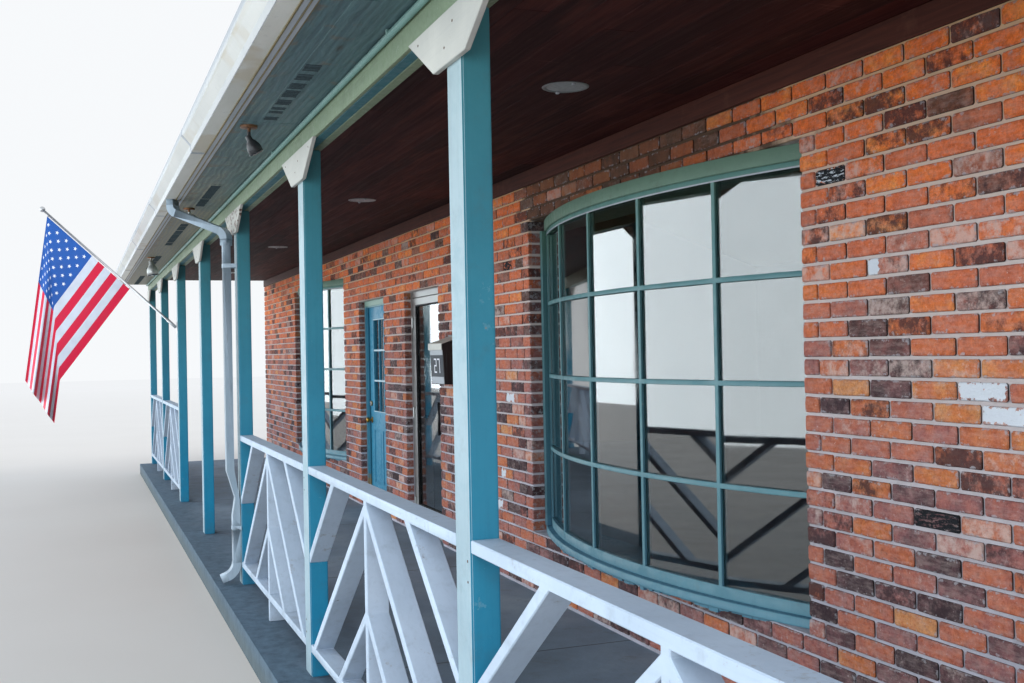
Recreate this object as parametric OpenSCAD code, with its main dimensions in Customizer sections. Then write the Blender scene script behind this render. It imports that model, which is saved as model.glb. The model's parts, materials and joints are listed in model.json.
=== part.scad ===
// Single-storey brick shop with a covered porch along its front.
// Millimetres, +Z up. The origin is on the ground under the middle of the enclosed shop,
// the front faces -Y, and the porch runs the whole length along X.

/* [Bays and site] */
// Spacing of the porch posts
bay = 2438.4; // [2200:0.1:2700]
// Number of porch bays
bays = 7; // [6:1:8]
// Depth of the enclosed shop, front wall face to back wall face
shop_depth = 9000; // [8000:50:11000]
// Height of the porch and shop floor above the ground
floor_h = 150; // [120:5:200]
// Distance from the front wall face to the front of the posts
porch_depth = 1720; // [1650:5:1800]
// Porch slab beyond the front of the posts
slab_lip = 165; // [100:5:250]

/* [Brickwork] */
// Height of one course with its bed joint
course = 75; // [70:0.5:78]
// Height of the lowest bed joint above the floor
first_joint = 15; // [0:1:25]
// Wall thickness
wall_t = 250; // [220:5:300]
// Courses from the first joint to the underside of the door heads
door_courses = 28; // [27:1:29]
// Courses from the first joint to the window seats
sill_courses = 5; // [4:1:6]
// Courses from the first joint to the underside of the window heads
head_courses = 32; // [31:1:33]

/* [Porch timber] */
// Post width along the front
post_w = 140; // [120:1:160]
// Post depth
post_d = 89; // [80:1:100]
// Ceiling height above the floor
ceiling_h = 2738; // [2700:1:2760]
// Thickness of the ceiling boards
ceiling_t = 20; // [15:1:30]
// Underside of the porch beam above the floor
beam_under = 2570; // [2540:1:2600]
// Width of the dark beam core
beam_core = 46; // [40:1:60]
// Front board of the beam
beam_front = 20; // [15:1:25]
// Back board of the beam
beam_back = 42; // [38:1:50]
// Height of the trim board where the ceiling meets the wall
trim_h = 98; // [80:1:110]
// Thickness of the same trim board
trim_t = 20; // [15:1:30]
// Top width of the white plate on each post head
gusset_top = 840; // [700:10:900]
// Bottom width of the same plate
gusset_bottom = 300; // [260:10:340]
// Height of the same plate
gusset_h = 155; // [140:1:170]
// Thickness of the same plate
gusset_t = 19; // [15:1:25]

/* [Railing] */
// Width of the railing boards, front to back
rail_w = 89; // [80:1:140]
// Thickness of the railing boards
rail_t = 38; // [30:1:45]
// Top of the top rail above the floor
rail_top = 1025; // [950:1:1070]
// Top of the bottom rail above the floor
rail_low = 160; // [140:1:200]
// Slope of the chevron boards in degrees
chevron = 37; // [36:0.5:37.5]
// Lower chevron behind the upper one, measured along the rail
chevron_gap = 560; // [540:1:600]
// Knee braces before the upper chevron, measured along the rail
knee_gap = 640; // [600:1:680]

/* [Roof] */
// Overhang of the eaves beyond the posts, and beyond the back wall
eave_out = 326; // [300:1:400]
// Underside of the soffit above the floor
soffit_h = 2675; // [2660:1:2700]
// Height of the fascia boards
fascia_h = 140; // [120:1:160]
// Thickness of fascia and soffit boards
eave_t = 18; // [12:1:25]
// Rise of the roof for each unit of run
pitch = 0.3333; // [0.25:0.01:0.4]
// Thickness of the roof slopes
roof_t = 45; // [30:1:80]
// Roof beyond the end walls
rake = 80; // [50:5:150]
// Gutter depth
gutter_h = 120; // [100:1:130]
// Gutter width at the bottom
gutter_low = 102; // [90:1:110]
// Gutter width at the lip
gutter_lip = 152; // [140:1:160]
// Gutter wall thickness
gutter_t = 3; // [2:0.5:5]
// Lengths in one row of gutter
gutter_lengths = 6; // [5:1:8]

/* [Downspout] */
// Width of the pipe along the front
spout_w = 76; // [70:1:80]
// Depth of the pipe
spout_d = 51; // [48:1:55]
// Outlet beyond the post, along the front
spout_side = 253; // [200:1:300]
// Fall of the slanted run in degrees
spout_fall = 22; // [18:1:30]
// Bend radius at the top
spout_r = 65; // [55:1:80]
// Space between the upper run and its post
spout_off = 38; // [30:1:45]
// Bend radius of the shoe
shoe_r = 100; // [90:1:110]
// Turn of the shoe in degrees
shoe_turn = 70; // [60:1:75]

/* [Bow windows] */
// Width of the bow window openings
bow_w = 2985; // [2900:5:3050]
// Rise of the bow from its ends to its middle
bow_rise = 270; // [230:5:300]
// Middle of the bow in front of the wall face
bow_out = 147; // [120:1:170]
// Centre of the window at the near end of the shop
bow_1_x = 3882; // [3800:1:3950]
// Centre of the window at the far end of the shop
bow_2_x = -4546; // [-4600:1:-4480]
// Lights across one bow window
bow_lights = 5; // [4:1:6]
// Rows of panes
bow_rows = 4; // [3:1:5]
// Thickness of the bow sash
sash_t = 48; // [40:1:60]
// Width of the glazing bars
bar_w = 24; // [18:1:30]
// Height of the bottom rail of the sash
sash_low = 54; // [45:1:65]
// Height of the head rail of the sash
sash_head = 22; // [18:1:70]
// Width of the sash stiles
sash_side = 50; // [40:1:60]
// Thickness of the window seat boards
seat_t = 40; // [30:1:50]
// Height of the head boards over the sashes
head_t = 70; // [40:1:90]
// Overhang of the seat board beyond the sash
seat_nose = 36; // [25:1:45]
// Width of the stop strips beside the sash
stop_w = 34; // [25:1:45]

/* [Doors] */
// Width of both door openings
door_w = 1028; // [1000:1:1050]
// Centre of the opening of the painted door
door_1_x = -1850; // [-1900:1:-1800]
// Centre of the opening of the glass door
door_2_x = -100; // [-150:1:-50]
// Width of the door frames seen from the front
jamb = 54; // [50:1:60]
// Clearance round the door leaves
door_gap = 7; // [6:0.5:9]
// Height of the thresholds
threshold = 20; // [15:1:25]
// Thickness of the painted leaf
leaf_1_t = 44; // [40:1:50]
// Painted leaf behind the wall face
leaf_1_back = 88; // [70:1:100]
// Thickness of the glass door leaf
leaf_2_t = 45; // [40:1:50]
// Glass door leaf behind the wall face
leaf_2_back = 60; // [50:1:80]

/* [Hidden] */
$fn = 48;

len_x = bays * bay + post_w;
half_x = len_x / 2;
half_y = shop_depth / 2;
face_y = -half_y;
post_y = face_y - porch_depth;
beam_y = post_y - 10;
eave_y = post_y - eave_out;
back_eave_y = half_y + eave_out;
ridge_y = (eave_y + back_eave_y) / 2;
roof_z = floor_h + soffit_h + fascia_h;
joint_z = floor_h + first_joint;
door_head_z = joint_z + door_courses * course;
seat_z = joint_z + sill_courses * course;
head_z = joint_z + head_courses * course;
ceiling_z = floor_h + ceiling_h;
beam_z = floor_h + beam_under;
soffit_z = floor_h + soffit_h;
bow_r = (bow_w * bow_w / 4 + bow_rise * bow_rise) / (2 * bow_rise);
bow_cy = face_y - bow_out + bow_r;
bow_angle = 2 * asin(bow_w / 2 / bow_r);
sash_z0 = seat_z + seat_t;
sash_z1 = head_z - head_t;
glass_t = 6;
spout_x = post_x(3);
dent_z1 = floor_h + 783;
dent_z = floor_h + 595;
dent_z0 = floor_h + 470;
shoe_z = floor_h + 150;
strap_z_top = floor_h + 2180;
strap_z_low = floor_h + 374;
strap_w = 28;
spout_joint = 44;
sleeve = 1.5;
dent_d = 28;
eps = 0.01;
seat_gap = 0.3;
head_nose = 14;
roof_drip = 20;
fascia_gap = 8;
fit = 0.2;

bow_edge = asin(sash_side / bow_r);
bow_bar = asin(bar_w / bow_r);
bow_light = (bow_angle - 0.1 - 2 * bow_edge - (bow_lights - 1) * bow_bar) / bow_lights;
pane_r = bow_r - sash_t / 2 + 5;
pane_in = 8;
function light_mid(i) = -bow_angle / 2 + 0.05 + bow_edge + bow_light / 2 + i * (bow_light + bow_bar);

function roof_under(y) = roof_z + pitch * (y < ridge_y ? y - eave_y : back_eave_y - y);
function post_x(i) = half_x - i * bay - post_w / 2;
function rake_foot(y, way) = y + way * (soffit_z + eave_t + seat_gap + fascia_h - roof_z) / pitch;

module box(x0, x1, y0, y1, z0, z1) {
    translate([x0, y0, z0]) cube([x1 - x0, y1 - y0, z1 - z0]);
}

// A prism along X whose outline is given in Y and Z.
module along_x(x0, x1, outline) {
    translate([x0, 0, 0])
        rotate([90, 0, 90])
            linear_extrude(height = x1 - x0)
                polygon(outline);
}

module floor_slab() {
    color("darkgray") box(-half_x, half_x, -half_y, half_y, 0, floor_h);
}

module porch_slab() {
    color("gray") box(-half_x, half_x, post_y - slab_lip, face_y, 0, floor_h);
}

// Full-height brickwork between the openings.
module front_walls() {
    edges = [
        [-half_x, bow_2_x - bow_w / 2],
        [bow_2_x + bow_w / 2, door_1_x - door_w / 2],
        [door_1_x + door_w / 2, door_2_x - door_w / 2],
        [door_2_x + door_w / 2, bow_1_x - bow_w / 2],
        [bow_1_x + bow_w / 2, half_x]
    ];
    color("firebrick")
        for (e = edges)
            box(e[0], e[1], face_y, face_y + wall_t, floor_h, head_z);
}

module window_aprons() {
    color("firebrick")
        for (x = [bow_1_x, bow_2_x])
            box(x - bow_w / 2, x + bow_w / 2, face_y, face_y + wall_t, floor_h, seat_z);
}

module door_headers() {
    color("firebrick")
        for (x = [door_1_x, door_2_x])
            box(x - door_w / 2, x + door_w / 2, face_y, face_y + wall_t, door_head_z, head_z);
}

module front_wall_top() {
    y1 = face_y + wall_t;
    color("sienna")
        along_x(-half_x, half_x, [
            [face_y, head_z], [y1, head_z],
            [y1, roof_under(y1) - seat_gap], [face_y, roof_under(face_y) - seat_gap]
        ]);
}

// End wall of the shop with its gable, between the front and back walls.
module side_wall(x0) {
    y0 = face_y + wall_t;
    y1 = half_y - wall_t;
    color("firebrick")
        along_x(x0, x0 + wall_t, [
            [y0, floor_h], [y1, floor_h], [y1, roof_under(y1) - seat_gap],
            [ridge_y, roof_under(ridge_y) - seat_gap], [y0, roof_under(y0) - seat_gap]
        ]);
}

rear_win = 1200;
rear_win_z = floor_h + 900;
rear_win_x = [-5400, 0, 5400];
rear_back = 120;
rear_t = 60;
rear_lap = 40;

module back_wall() {
    y0 = half_y - wall_t;
    color("firebrick")
        difference() {
            along_x(-half_x, half_x, [
                [y0, floor_h], [half_y, floor_h],
                [half_y, roof_under(half_y) - seat_gap], [y0, roof_under(y0) - seat_gap]
            ]);
            for (x = rear_win_x)
                box(x - rear_win / 2, x + rear_win / 2, y0 - 1, half_y + 1, rear_win_z, rear_win_z + rear_win);
        }
}

module roof_front() {
    edge = eave_y - eave_t - roof_drip;
    low = roof_z + pitch * (edge - eave_y);
    color("dimgray")
        along_x(-half_x - rake, half_x + rake, [
            [edge, low], [ridge_y, roof_under(ridge_y)],
            [ridge_y, roof_under(ridge_y) + roof_t], [edge, low + roof_t]
        ]);
}

module roof_rear() {
    edge = back_eave_y + eave_t + roof_drip;
    low = roof_z + pitch * (back_eave_y - edge);
    color("dimgray")
        along_x(-half_x - rake, half_x + rake, [
            [ridge_y, roof_under(ridge_y)], [edge, low],
            [edge, low + roof_t], [ridge_y, roof_under(ridge_y) + roof_t]
        ]);
}

module porch_ceiling() {
    y0 = beam_y + beam_front + beam_core + beam_back;
    color("saddlebrown")
        difference() {
            box(-half_x, half_x, y0, face_y, ceiling_z, ceiling_z + ceiling_t);
            for (x = light_x)
                translate([x, light_y, ceiling_z - 1]) cylinder(r = light_hole, h = ceiling_t + 2);
        }
}

module ceiling_trim() {
    color("brown")
        box(-half_x, half_x, face_y - trim_t, face_y, ceiling_z - trim_h, ceiling_z);
}

module porch_beam() {
    y0 = beam_y + beam_front;
    color("teal")
        box(-half_x, half_x, y0, y0 + beam_core, beam_z, ceiling_z + ceiling_t);
}

module beam_boards() {
    y1 = beam_y + beam_front + beam_core;
    color("darkseagreen") {
        box(-half_x, half_x, beam_y, beam_y + beam_front, beam_z, ceiling_z + ceiling_t);
        box(-half_x, half_x, y1, y1 + beam_back, beam_z, ceiling_z + ceiling_t);
    }
}

module posts() {
    color("steelblue")
        for (i = [0 : bays])
            box(post_x(i) - post_w / 2, post_x(i) + post_w / 2, post_y, post_y + post_d, floor_h, beam_z);
}

// White plate on each post head; the end plates stop flush with the porch ends.
module post_gussets() {
    color("white")
        for (i = [0 : bays])
            intersection() {
                translate([post_x(i), post_y, beam_z])
                    rotate([90, 0, 0])
                        linear_extrude(height = gusset_t)
                            polygon([
                                [-gusset_top / 2, 0], [-gusset_bottom / 2, -gusset_h],
                                [gusset_bottom / 2, -gusset_h], [gusset_top / 2, 0]
                            ]);
                box(-half_x, half_x, post_y - 100, post_y, beam_z - gusset_h - 1, beam_z + 1);
            }
}

module soffits() {
    color("darkkhaki") {
        box(-half_x - rake, half_x + rake, eave_y, beam_y, soffit_z, soffit_z + eave_t);
        box(-half_x - rake, half_x + rake, half_y, back_eave_y, soffit_z, soffit_z + eave_t);
    }
}

// Eave boards, and a board under the roof along each gable.
module fascias() {
    top = soffit_z + eave_t + seat_gap;
    color("white") {
        for (x = [-half_x - eave_t, half_x])
            along_x(x, x + eave_t, [
                [eave_y + 1, top], [rake_foot(eave_y, 1), top], [ridge_y, roof_under(ridge_y) - fascia_h],
                [rake_foot(back_eave_y, -1), top], [back_eave_y - 1, top],
                [back_eave_y - 1, roof_under(back_eave_y - 1) - seat_gap],
                [ridge_y, roof_under(ridge_y) - seat_gap], [eave_y + 1, roof_under(eave_y + 1) - seat_gap]
            ]);
        box(-half_x - rake, half_x + rake, eave_y - eave_t, eave_y, soffit_z, roof_z - fascia_gap);
        box(-half_x - rake, half_x + rake, back_eave_y, back_eave_y + eave_t, soffit_z, roof_z - fascia_gap);
    }
}

// Gutter outline: an ogee front between a flat bottom and a rolled lip.
function gutter_outline(w) = [
    [0, 0], [gutter_low, 0], [gutter_low + 4, 40], [gutter_lip - 14, 78], [gutter_lip, 92],
    [gutter_lip, gutter_h], [gutter_lip - w, gutter_h], [gutter_lip - w, 92 + w],
    [gutter_lip - 14 - w, 78 + w], [gutter_low + 4 - w, 40 + w], [gutter_low - w, w], [w, w],
    [w, gutter_h - 15], [0, gutter_h - 15]
];

// Both gutters, in lengths that almost meet, with a cap at each end of the row.
module gutters() {
    outer = gutter_outline(gutter_t);
    full = [for (k = [0 : 5]) outer[k]];
    start = -half_x - rake;
    step = 2 * -start / gutter_lengths;
    color("gainsboro")
        for (side = [-1, 1], k = [0 : gutter_lengths - 1]) {
            y = side < 0 ? eave_y - eave_t : back_eave_y + eave_t;
            x0 = start + k * step;
            x1 = x0 + step - 0.5;
            along_x(x0, x1, [for (p = outer) [y + side * p[0], soffit_z + p[1]]]);
            cap = concat(full, [[0, gutter_h]]);
            if (k == 0)
                along_x(x0, x0 + gutter_t, [for (p = cap) [y + side * p[0], soffit_z + p[1]]]);
            if (k == gutter_lengths - 1)
                along_x(x1 - gutter_t, x1, [for (p = cap) [y + side * p[0], soffit_z + p[1]]]);
        }
}

// A bend of the rectangular downspout in the plane of X and Z, from straight down towards +X.
// It is a little wider than the pipe that slips into it.
module spout_bend(r, turn) {
    d = spout_d + 2 * sleeve;
    w = spout_w + 2 * sleeve;
    translate([r, 0, 0])
        rotate([90, 0, 0])
            rotate([0, 0, 180])
                rotate_extrude(angle = turn)
                    translate([r - d / 2, -w / 2])
                        square([d, w]);
}

// A straight pipe along Z, from above its bend's end to below it.
module spout_length(above, below) {
    translate([-spout_d / 2, -spout_w / 2, -below]) cube([spout_d, spout_w, above + below]);
}

module spout_strap(y_pipe, z) {
    wing = 32;
    x0 = spout_x - spout_w / 2 - 2;
    x1 = spout_x + spout_w / 2 + 2;
    box(x0, x1, y_pipe - spout_d / 2 - 2, y_pipe - spout_d / 2 + 1, z, z + strap_w);
    for (x = [x0, x1 - 3])
        box(x, x + 3, y_pipe - spout_d / 2 - 2, post_y, z, z + strap_w);
    for (x = [x0 - wing, x1 - 3])
        box(x, x + wing + 3, post_y - 2, post_y, z, z + strap_w);
}

// Outlet, two bends, a run down the post with a dent in it, and a shoe at the foot.
module downspout() {
    out = [spout_x - spout_side, eave_y - eave_t - gutter_low / 2];
    y_up = post_y - spout_off - spout_d / 2;
    y_low = post_y - 3 - spout_d / 2;
    plan = [spout_side, y_up - out[1]];
    reach = norm(plan);
    bend = 90 - spout_fall;
    run = (reach - 2 * spout_r * (1 - cos(bend))) / cos(spout_fall);
    drop = 2 * spout_r * sin(bend) + run * sin(spout_fall);
    outlet_h = 40;
    lap = 8;
    z_bend = soffit_z - outlet_h - eps;
    z_top = z_bend - drop;
    half_d = spout_d / 2;
    y_dent = y_low + 8;
    color("white")
        union() {
            translate([out[0], out[1], z_bend])
                rotate([0, 0, atan2(plan[1], plan[0])]) {
                    spout_length(outlet_h, lap);
                    spout_bend(spout_r, bend);
                    translate([spout_r * (1 - cos(bend)), 0, -spout_r * sin(bend)])
                        rotate([0, -bend, 0]) spout_length(lap, run + lap);
                    translate([reach, 0, -drop]) {
                        rotate([0, 180, 0]) spout_bend(spout_r, bend);
                        spout_length(lap, spout_joint);
                    }
                }
            along_x(spout_x - spout_w / 2, spout_x + spout_w / 2, [
                [y_up - half_d, z_top - spout_joint / 2], [y_up + half_d, z_top - spout_joint / 2],
                [y_up + half_d, dent_z1], [y_dent + dent_d / 2, dent_z],
                [y_low + half_d, dent_z0], [y_low + half_d, shoe_z - lap],
                [y_low - half_d, shoe_z - lap], [y_low - half_d, dent_z0],
                [y_dent - dent_d / 2, dent_z], [y_up - half_d, dent_z1]
            ]);
            translate([spout_x, y_low, shoe_z])
                rotate([0, 0, -90]) {
                    spout_bend(shoe_r, shoe_turn);
                    translate([shoe_r * (1 - cos(shoe_turn)), 0, -shoe_r * sin(shoe_turn)])
                        rotate([0, -shoe_turn, 0]) spout_length(lap, 40);
                }
            spout_strap(y_up, strap_z_top);
            spout_strap(y_low, strap_z_low);
        }
}

// Boards that close the porch roof above the ceiling at both ends.
module porch_gables() {
    y0 = beam_y + beam_front + beam_core + beam_back;
    z0 = ceiling_z + ceiling_t;
    color("white")
        for (x = [-half_x, half_x - eave_t])
            along_x(x, x + eave_t, [
                [eave_y, soffit_z + eave_t], [beam_y, soffit_z + eave_t], [beam_y, z0], [face_y, z0],
                [face_y, roof_under(face_y) - seat_gap], [eave_y, roof_under(eave_y) - seat_gap]
            ]);
}

// A sloped board whose upper edge joins two points; rails and posts cut its ends.
module brace(x0, z0, x1, z1) {
    v = rail_t / cos(chevron);
    rotate([90, 0, 0])
        translate([0, 0, -rail_w])
            linear_extrude(height = rail_w)
                polygon([[x0, z0 - v], [x1, z1 - v], [x1, z1], [x0, z0]]);
}

// One railing panel: two rails, a centre post, nested chevrons and knee braces.
module railing(i) {
    x0 = half_x - (i + 1) * bay;
    clear = bay - post_w;
    mid = clear / 2;
    slope = tan(chevron);
    z_top = rail_top - rail_t;
    z_low = rail_low;
    z_foot = z_top - mid * slope;
    color("white")
        translate([x0, post_y, floor_h]) {
            box(0, clear, 0, rail_w, z_top, rail_top);
            box(0, clear, 0, rail_w, z_low - rail_t, z_low);
            box(mid - rail_t / 2, mid + rail_t / 2, 0, rail_w, 0, z_low - rail_t);
            box(mid - rail_t / 2, mid + rail_t / 2, 0, rail_w, z_low, z_top);
            intersection() {
                box(0, clear, 0, rail_w, z_low - 1, z_top + 1);
                union()
                    for (m = [0, 1])
                        translate([m * clear, 0, 0])
                            mirror([m, 0, 0])
                                for (step = [-knee_gap, 0, chevron_gap])
                                    brace(0, z_foot - step * slope, mid, z_top - step * slope);
            }
        }
}

// A ring segment of the bow between two radii, two heights and two angles from the middle.
module bow_arc(r0, r1, z0, z1, a0, a1) {
    translate([0, 0, z0])
        rotate([0, 0, -90 + a0])
            rotate_extrude(angle = a1 - a0, $fn = 720)
                translate([r0, 0])
                    square([r1 - r0, z1 - z0]);
}

// Curved sash: a ring segment with one opening for each pane and a groove for the flat glass,
// and a stop strip before each end of it.
module bow_frame(x) {
    a = bow_angle / 2 - 0.05;
    r0 = bow_r - sash_t;
    row = (sash_z1 - sash_z0 - sash_low - sash_head - (bow_rows - 1) * bar_w) / bow_rows;
    color("cadetblue")
        translate([x, bow_cy, 0])
            difference() {
                bow_arc(r0, bow_r, sash_z0, sash_z1, -a, a);
                for (i = [0 : bow_lights - 1], j = [0 : bow_rows - 1]) {
                    z0 = sash_z0 + sash_low + j * (row + bar_w);
                    bow_arc(r0 - 1, bow_r + 1, z0, z0 + row,
                        light_mid(i) - bow_light / 2, light_mid(i) + bow_light / 2);
                }
                bow_panes(1);
            }
    stop_y = bow_cy - sqrt(bow_r * bow_r - pow(bow_w / 2 - stop_w, 2)) - seat_gap;
    color("cadetblue")
        for (side = [-1, 1]) {
            edge = x + side * (bow_w / 2 - eps);
            inner = edge - side * stop_w;
            box(min(edge, inner), max(edge, inner), stop_y - stop_w, stop_y, sash_z0, sash_z1);
        }
}

// Five flat panes let into the curved sash; grow leaves room round them.
module bow_panes(grow) {
    w = 2 * pane_r * sin(bow_light / 2) + 2 * (pane_in + grow);
    h = sash_z1 - sash_z0 - sash_low - sash_head + 2 * (pane_in + grow);
    y = -pane_r * cos(bow_light / 2) - glass_t / 2 - grow;
    for (i = [0 : bow_lights - 1])
        rotate([0, 0, light_mid(i)])
            translate([-w / 2, y, sash_z0 + sash_low - pane_in - grow])
                cube([w, glass_t + 2 * grow, h]);
}

module window_glass() {
    color("lightblue", 0.5)
        for (x = [bow_1_x, bow_2_x])
            translate([x, bow_cy, 0]) bow_panes(0);
}

// A board across the opening whose front follows the bow.
module bow_board(x, nose, z) {
    intersection() {
        translate([x, bow_cy, z]) cylinder(r = bow_r + nose, h = seat_t, $fn = 720);
        box(x - bow_w / 2 + eps, x + bow_w / 2 - eps, face_y - bow_out - nose - 1, face_y + wall_t,
            z - 1, z + seat_t + 1);
    }
}

module window_seats() {
    color("cadetblue")
        for (x = [bow_1_x, bow_2_x]) bow_board(x, seat_nose, seat_z);
}

module window_heads() {
    color("cadetblue")
        for (x = [bow_1_x, bow_2_x])
            intersection() {
                translate([x, bow_cy, sash_z1 + seat_gap])
                    cylinder(r = bow_r + head_nose, h = head_t - seat_gap, $fn = 720);
                box(x - bow_w / 2 + eps, x + bow_w / 2 - eps, face_y - bow_out - 2 * head_nose, face_y + wall_t,
                    sash_z1, head_z + 1);
            }
}

module rear_window_frames() {
    y0 = half_y - rear_back;
    w = rear_win / 2;
    edge = 50;
    bar = 12;
    groove = 4;
    color("cadetblue")
        for (x = rear_win_x)
            translate([x, y0, rear_win_z])
                difference() {
                    box(-w + eps, w - eps, 0, rear_t, eps, rear_win - eps);
                    for (i = [-1, 1], k = [0, 1])
                        box(i > 0 ? bar : -w + edge, i > 0 ? w - edge : -bar, -1, rear_t + 1,
                            k > 0 ? w + bar : edge, k > 0 ? rear_win - edge : w - bar);
                    box(-w + rear_lap, w - rear_lap, rear_t / 2 - groove, rear_t / 2 + groove,
                        rear_lap, rear_win - rear_lap);
                }
}

module rear_window_glass() {
    w = rear_win / 2 - rear_lap - 2;
    y = half_y - rear_back + rear_t / 2;
    z = rear_win_z + rear_win / 2;
    color("lightblue", 0.5)
        for (x = rear_win_x)
            box(x - w, x + w, y - glass_t / 2, y + glass_t / 2, z - w, z + w);
}

stop_d = 20;

// Frame and threshold of one doorway.
module door_frame(x, y0, y1) {
    w = door_w / 2 - eps;
    box(x - w, x - w + jamb, y0, y1, floor_h, door_head_z);
    box(x + w - jamb, x + w, y0, y1, floor_h, door_head_z);
    box(x - w, x + w, y0, y1, door_head_z - jamb, door_head_z);
    box(x - w, x + w, y0, y1, floor_h, floor_h + threshold);
}

module door_1_frame() {
    y0 = face_y + leaf_1_back;
    front = 30;
    color("steelblue")
        union() {
            door_frame(door_1_x, y0 - front, y0 + leaf_1_t);
            door_stop(door_1_x, y0 - stop_d, y0 - door_gap);
            hinge_frame_side(hinge_1, 1, 1);
        }
}

// The lip that a leaf closes against, round the sides and head of a frame.
module door_stop(x, y0, y1) {
    w = door_w / 2 - jamb;
    lip = 16;
    difference() {
        box(x - w - 1, x + w + 1, y0, y1, floor_h, door_head_z - jamb + 1);
        box(x - w + lip, x + w - lip, y0 - 1, y1 + 1, floor_h - 1, door_head_z - jamb - lip);
    }
}

module door_2_frame() {
    y0 = face_y + leaf_2_back;
    behind = 25;
    color("silver")
        union() {
            door_frame(door_2_x, y0, y0 + leaf_2_t + behind);
            door_stop(door_2_x, y0 + leaf_2_t + door_gap, y0 + leaf_2_t + stop_d);
            hinge_frame_side(hinge_2, -1, -1);
        }
}

leaf_w = door_w - 2 * jamb - 2 * door_gap;
leaf_z0 = floor_h + threshold + door_gap;
leaf_z1 = door_head_z - jamb - door_gap;
leaf_h = leaf_z1 - leaf_z0;
hinge_out = 9;
hinge_r = 8;
pin_r = 3;
pin_h = 90;
knuckle = 30;
hinge_z = [for (k = [0, 0.5, 1]) leaf_z0 + 170 + k * (leaf_h - 430)];
hinge_1 = [door_1_x + leaf_w / 2 + door_gap / 2, face_y + leaf_1_back + leaf_1_t + hinge_out];
hinge_2 = [door_2_x - leaf_w / 2 - door_gap / 2, face_y + leaf_2_back - hinge_out];

// Upper and lower knuckles with the pin and their plate, on the jamb.
module hinge_frame_side(axis, side, out) {
    for (z = hinge_z)
        translate([axis[0], axis[1], z]) {
            cylinder(r = pin_r, h = pin_h);
            for (k = [0, pin_h - knuckle + 1]) {
                translate([0, 0, k]) cylinder(r = hinge_r, h = knuckle - 1);
                hinge_plate(side, out, k, knuckle - 1);
            }
        }
}

// Middle knuckle with its bore and plate, on the leaf.
module hinge_leaf_side(axis, side, out) {
    for (z = hinge_z)
        translate([axis[0], axis[1], z])
            difference() {
                union() {
                    translate([0, 0, knuckle]) cylinder(r = hinge_r, h = knuckle);
                    hinge_plate(-side, out, knuckle, knuckle);
                }
                cylinder(r = pin_r + 2 * fit, h = pin_h);
            }
}

// A plate on the face of a leaf or jamb, from the pin outwards.
module hinge_plate(side, out, z, h) {
    reach = 36;
    thick = 3;
    translate([side > 0 ? 0 : -reach, out > 0 ? -hinge_out : hinge_out - thick, z])
        cube([reach, thick, h]);
}

// Painted leaf: nine lights above a lock rail, two tall sunk panels below.
glass_lap_1 = 8;
glass_1_w = 560;
glass_1_z = 960;
glass_1_h = 925;
module door_1_leaf() {
    x0 = door_1_x - leaf_w / 2;
    y0 = face_y + leaf_1_back;
    mid = leaf_w / 2;
    half = glass_1_w / 2;
    top = glass_1_z + glass_1_h;
    bar = 10;
    bar_in = 6;
    lap = glass_lap_1 + fit;
    slot = glass_t / 2 + fit;
    panel_side = 150;
    panel_mid = 35;
    panel_low = 230;
    panel_top = glass_1_z - 190;
    sunk = 10;
    color("steelblue") {
        hinge_leaf_side(hinge_1, 1, 1);
        translate([x0, y0, leaf_z0])
            difference() {
                cube([leaf_w, leaf_1_t, leaf_h]);
                difference() {
                    box(mid - half, mid + half, -1, leaf_1_t + 1, glass_1_z, top);
                    for (k = [1, 2]) {
                        x = mid - half + k * glass_1_w / 3;
                        z = glass_1_z + k * glass_1_h / 3;
                        box(x - bar, x + bar, bar_in, leaf_1_t - bar_in, glass_1_z - 1, top + 1);
                        box(0, leaf_w, bar_in, leaf_1_t - bar_in, z - bar, z + bar);
                    }
                }
                box(mid - half - lap, mid + half + lap, leaf_1_t / 2 - slot, leaf_1_t / 2 + slot,
                    glass_1_z - lap, top + lap);
                for (x = [panel_side, mid + panel_mid], y = [-1, leaf_1_t - sunk])
                    box(x, x + mid - panel_side - panel_mid, y, y + sunk + 1, panel_low, panel_top);
            }
    }
}

module door_1_glass() {
    w = glass_1_w / 2 + glass_lap_1;
    y = face_y + leaf_1_back + leaf_1_t / 2;
    z = leaf_z0 + glass_1_z;
    color("lightblue", 0.5)
        box(door_1_x - w, door_1_x + w, y - glass_t / 2, y + glass_t / 2,
            z - glass_lap_1, z + glass_1_h + glass_lap_1);
}

knob_z = floor_h + 890;
bolt_z = floor_h + 1060;

// Round knobs and a deadbolt on both faces of the painted leaf.
module door_1_knobs() {
    x = door_1_x - leaf_w / 2 + 65;
    y0 = face_y + leaf_1_back;
    color("goldenrod")
        for (s = [0, 1])
            translate([x, y0 + s * leaf_1_t, 0])
                mirror([0, s, 0])
                    rotate([90, 0, 0]) {
                        translate([0, knob_z, 0])
                            rotate_extrude()
                                polygon([
                                    [0, 0], [32, 0], [32, 5], [13, 9], [11, 28],
                                    [24, 36], [28, 47], [25, 58], [14, 64], [0, 64]
                                ]);
                        translate([0, bolt_z, 0]) cylinder(r = 27, h = 14);
                    }
}

stile = 54;
top_rail = 60;
low_rail = 190;
glass_lap_2 = 10;

// Glass door leaf: a metal frame with one large pane.
module door_2_leaf() {
    x0 = door_2_x - leaf_w / 2;
    y0 = face_y + leaf_2_back;
    lap = glass_lap_2 + fit;
    slot = glass_t / 2 + fit;
    color("silver") {
        hinge_leaf_side(hinge_2, -1, -1);
        translate([x0, y0, leaf_z0])
            difference() {
                cube([leaf_w, leaf_2_t, leaf_h]);
                box(stile, leaf_w - stile, -1, leaf_2_t + 1, low_rail, leaf_h - top_rail);
                box(stile - lap, leaf_w - stile + lap, leaf_2_t / 2 - slot, leaf_2_t / 2 + slot,
                    low_rail - lap, leaf_h - top_rail + lap);
            }
    }
}

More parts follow.
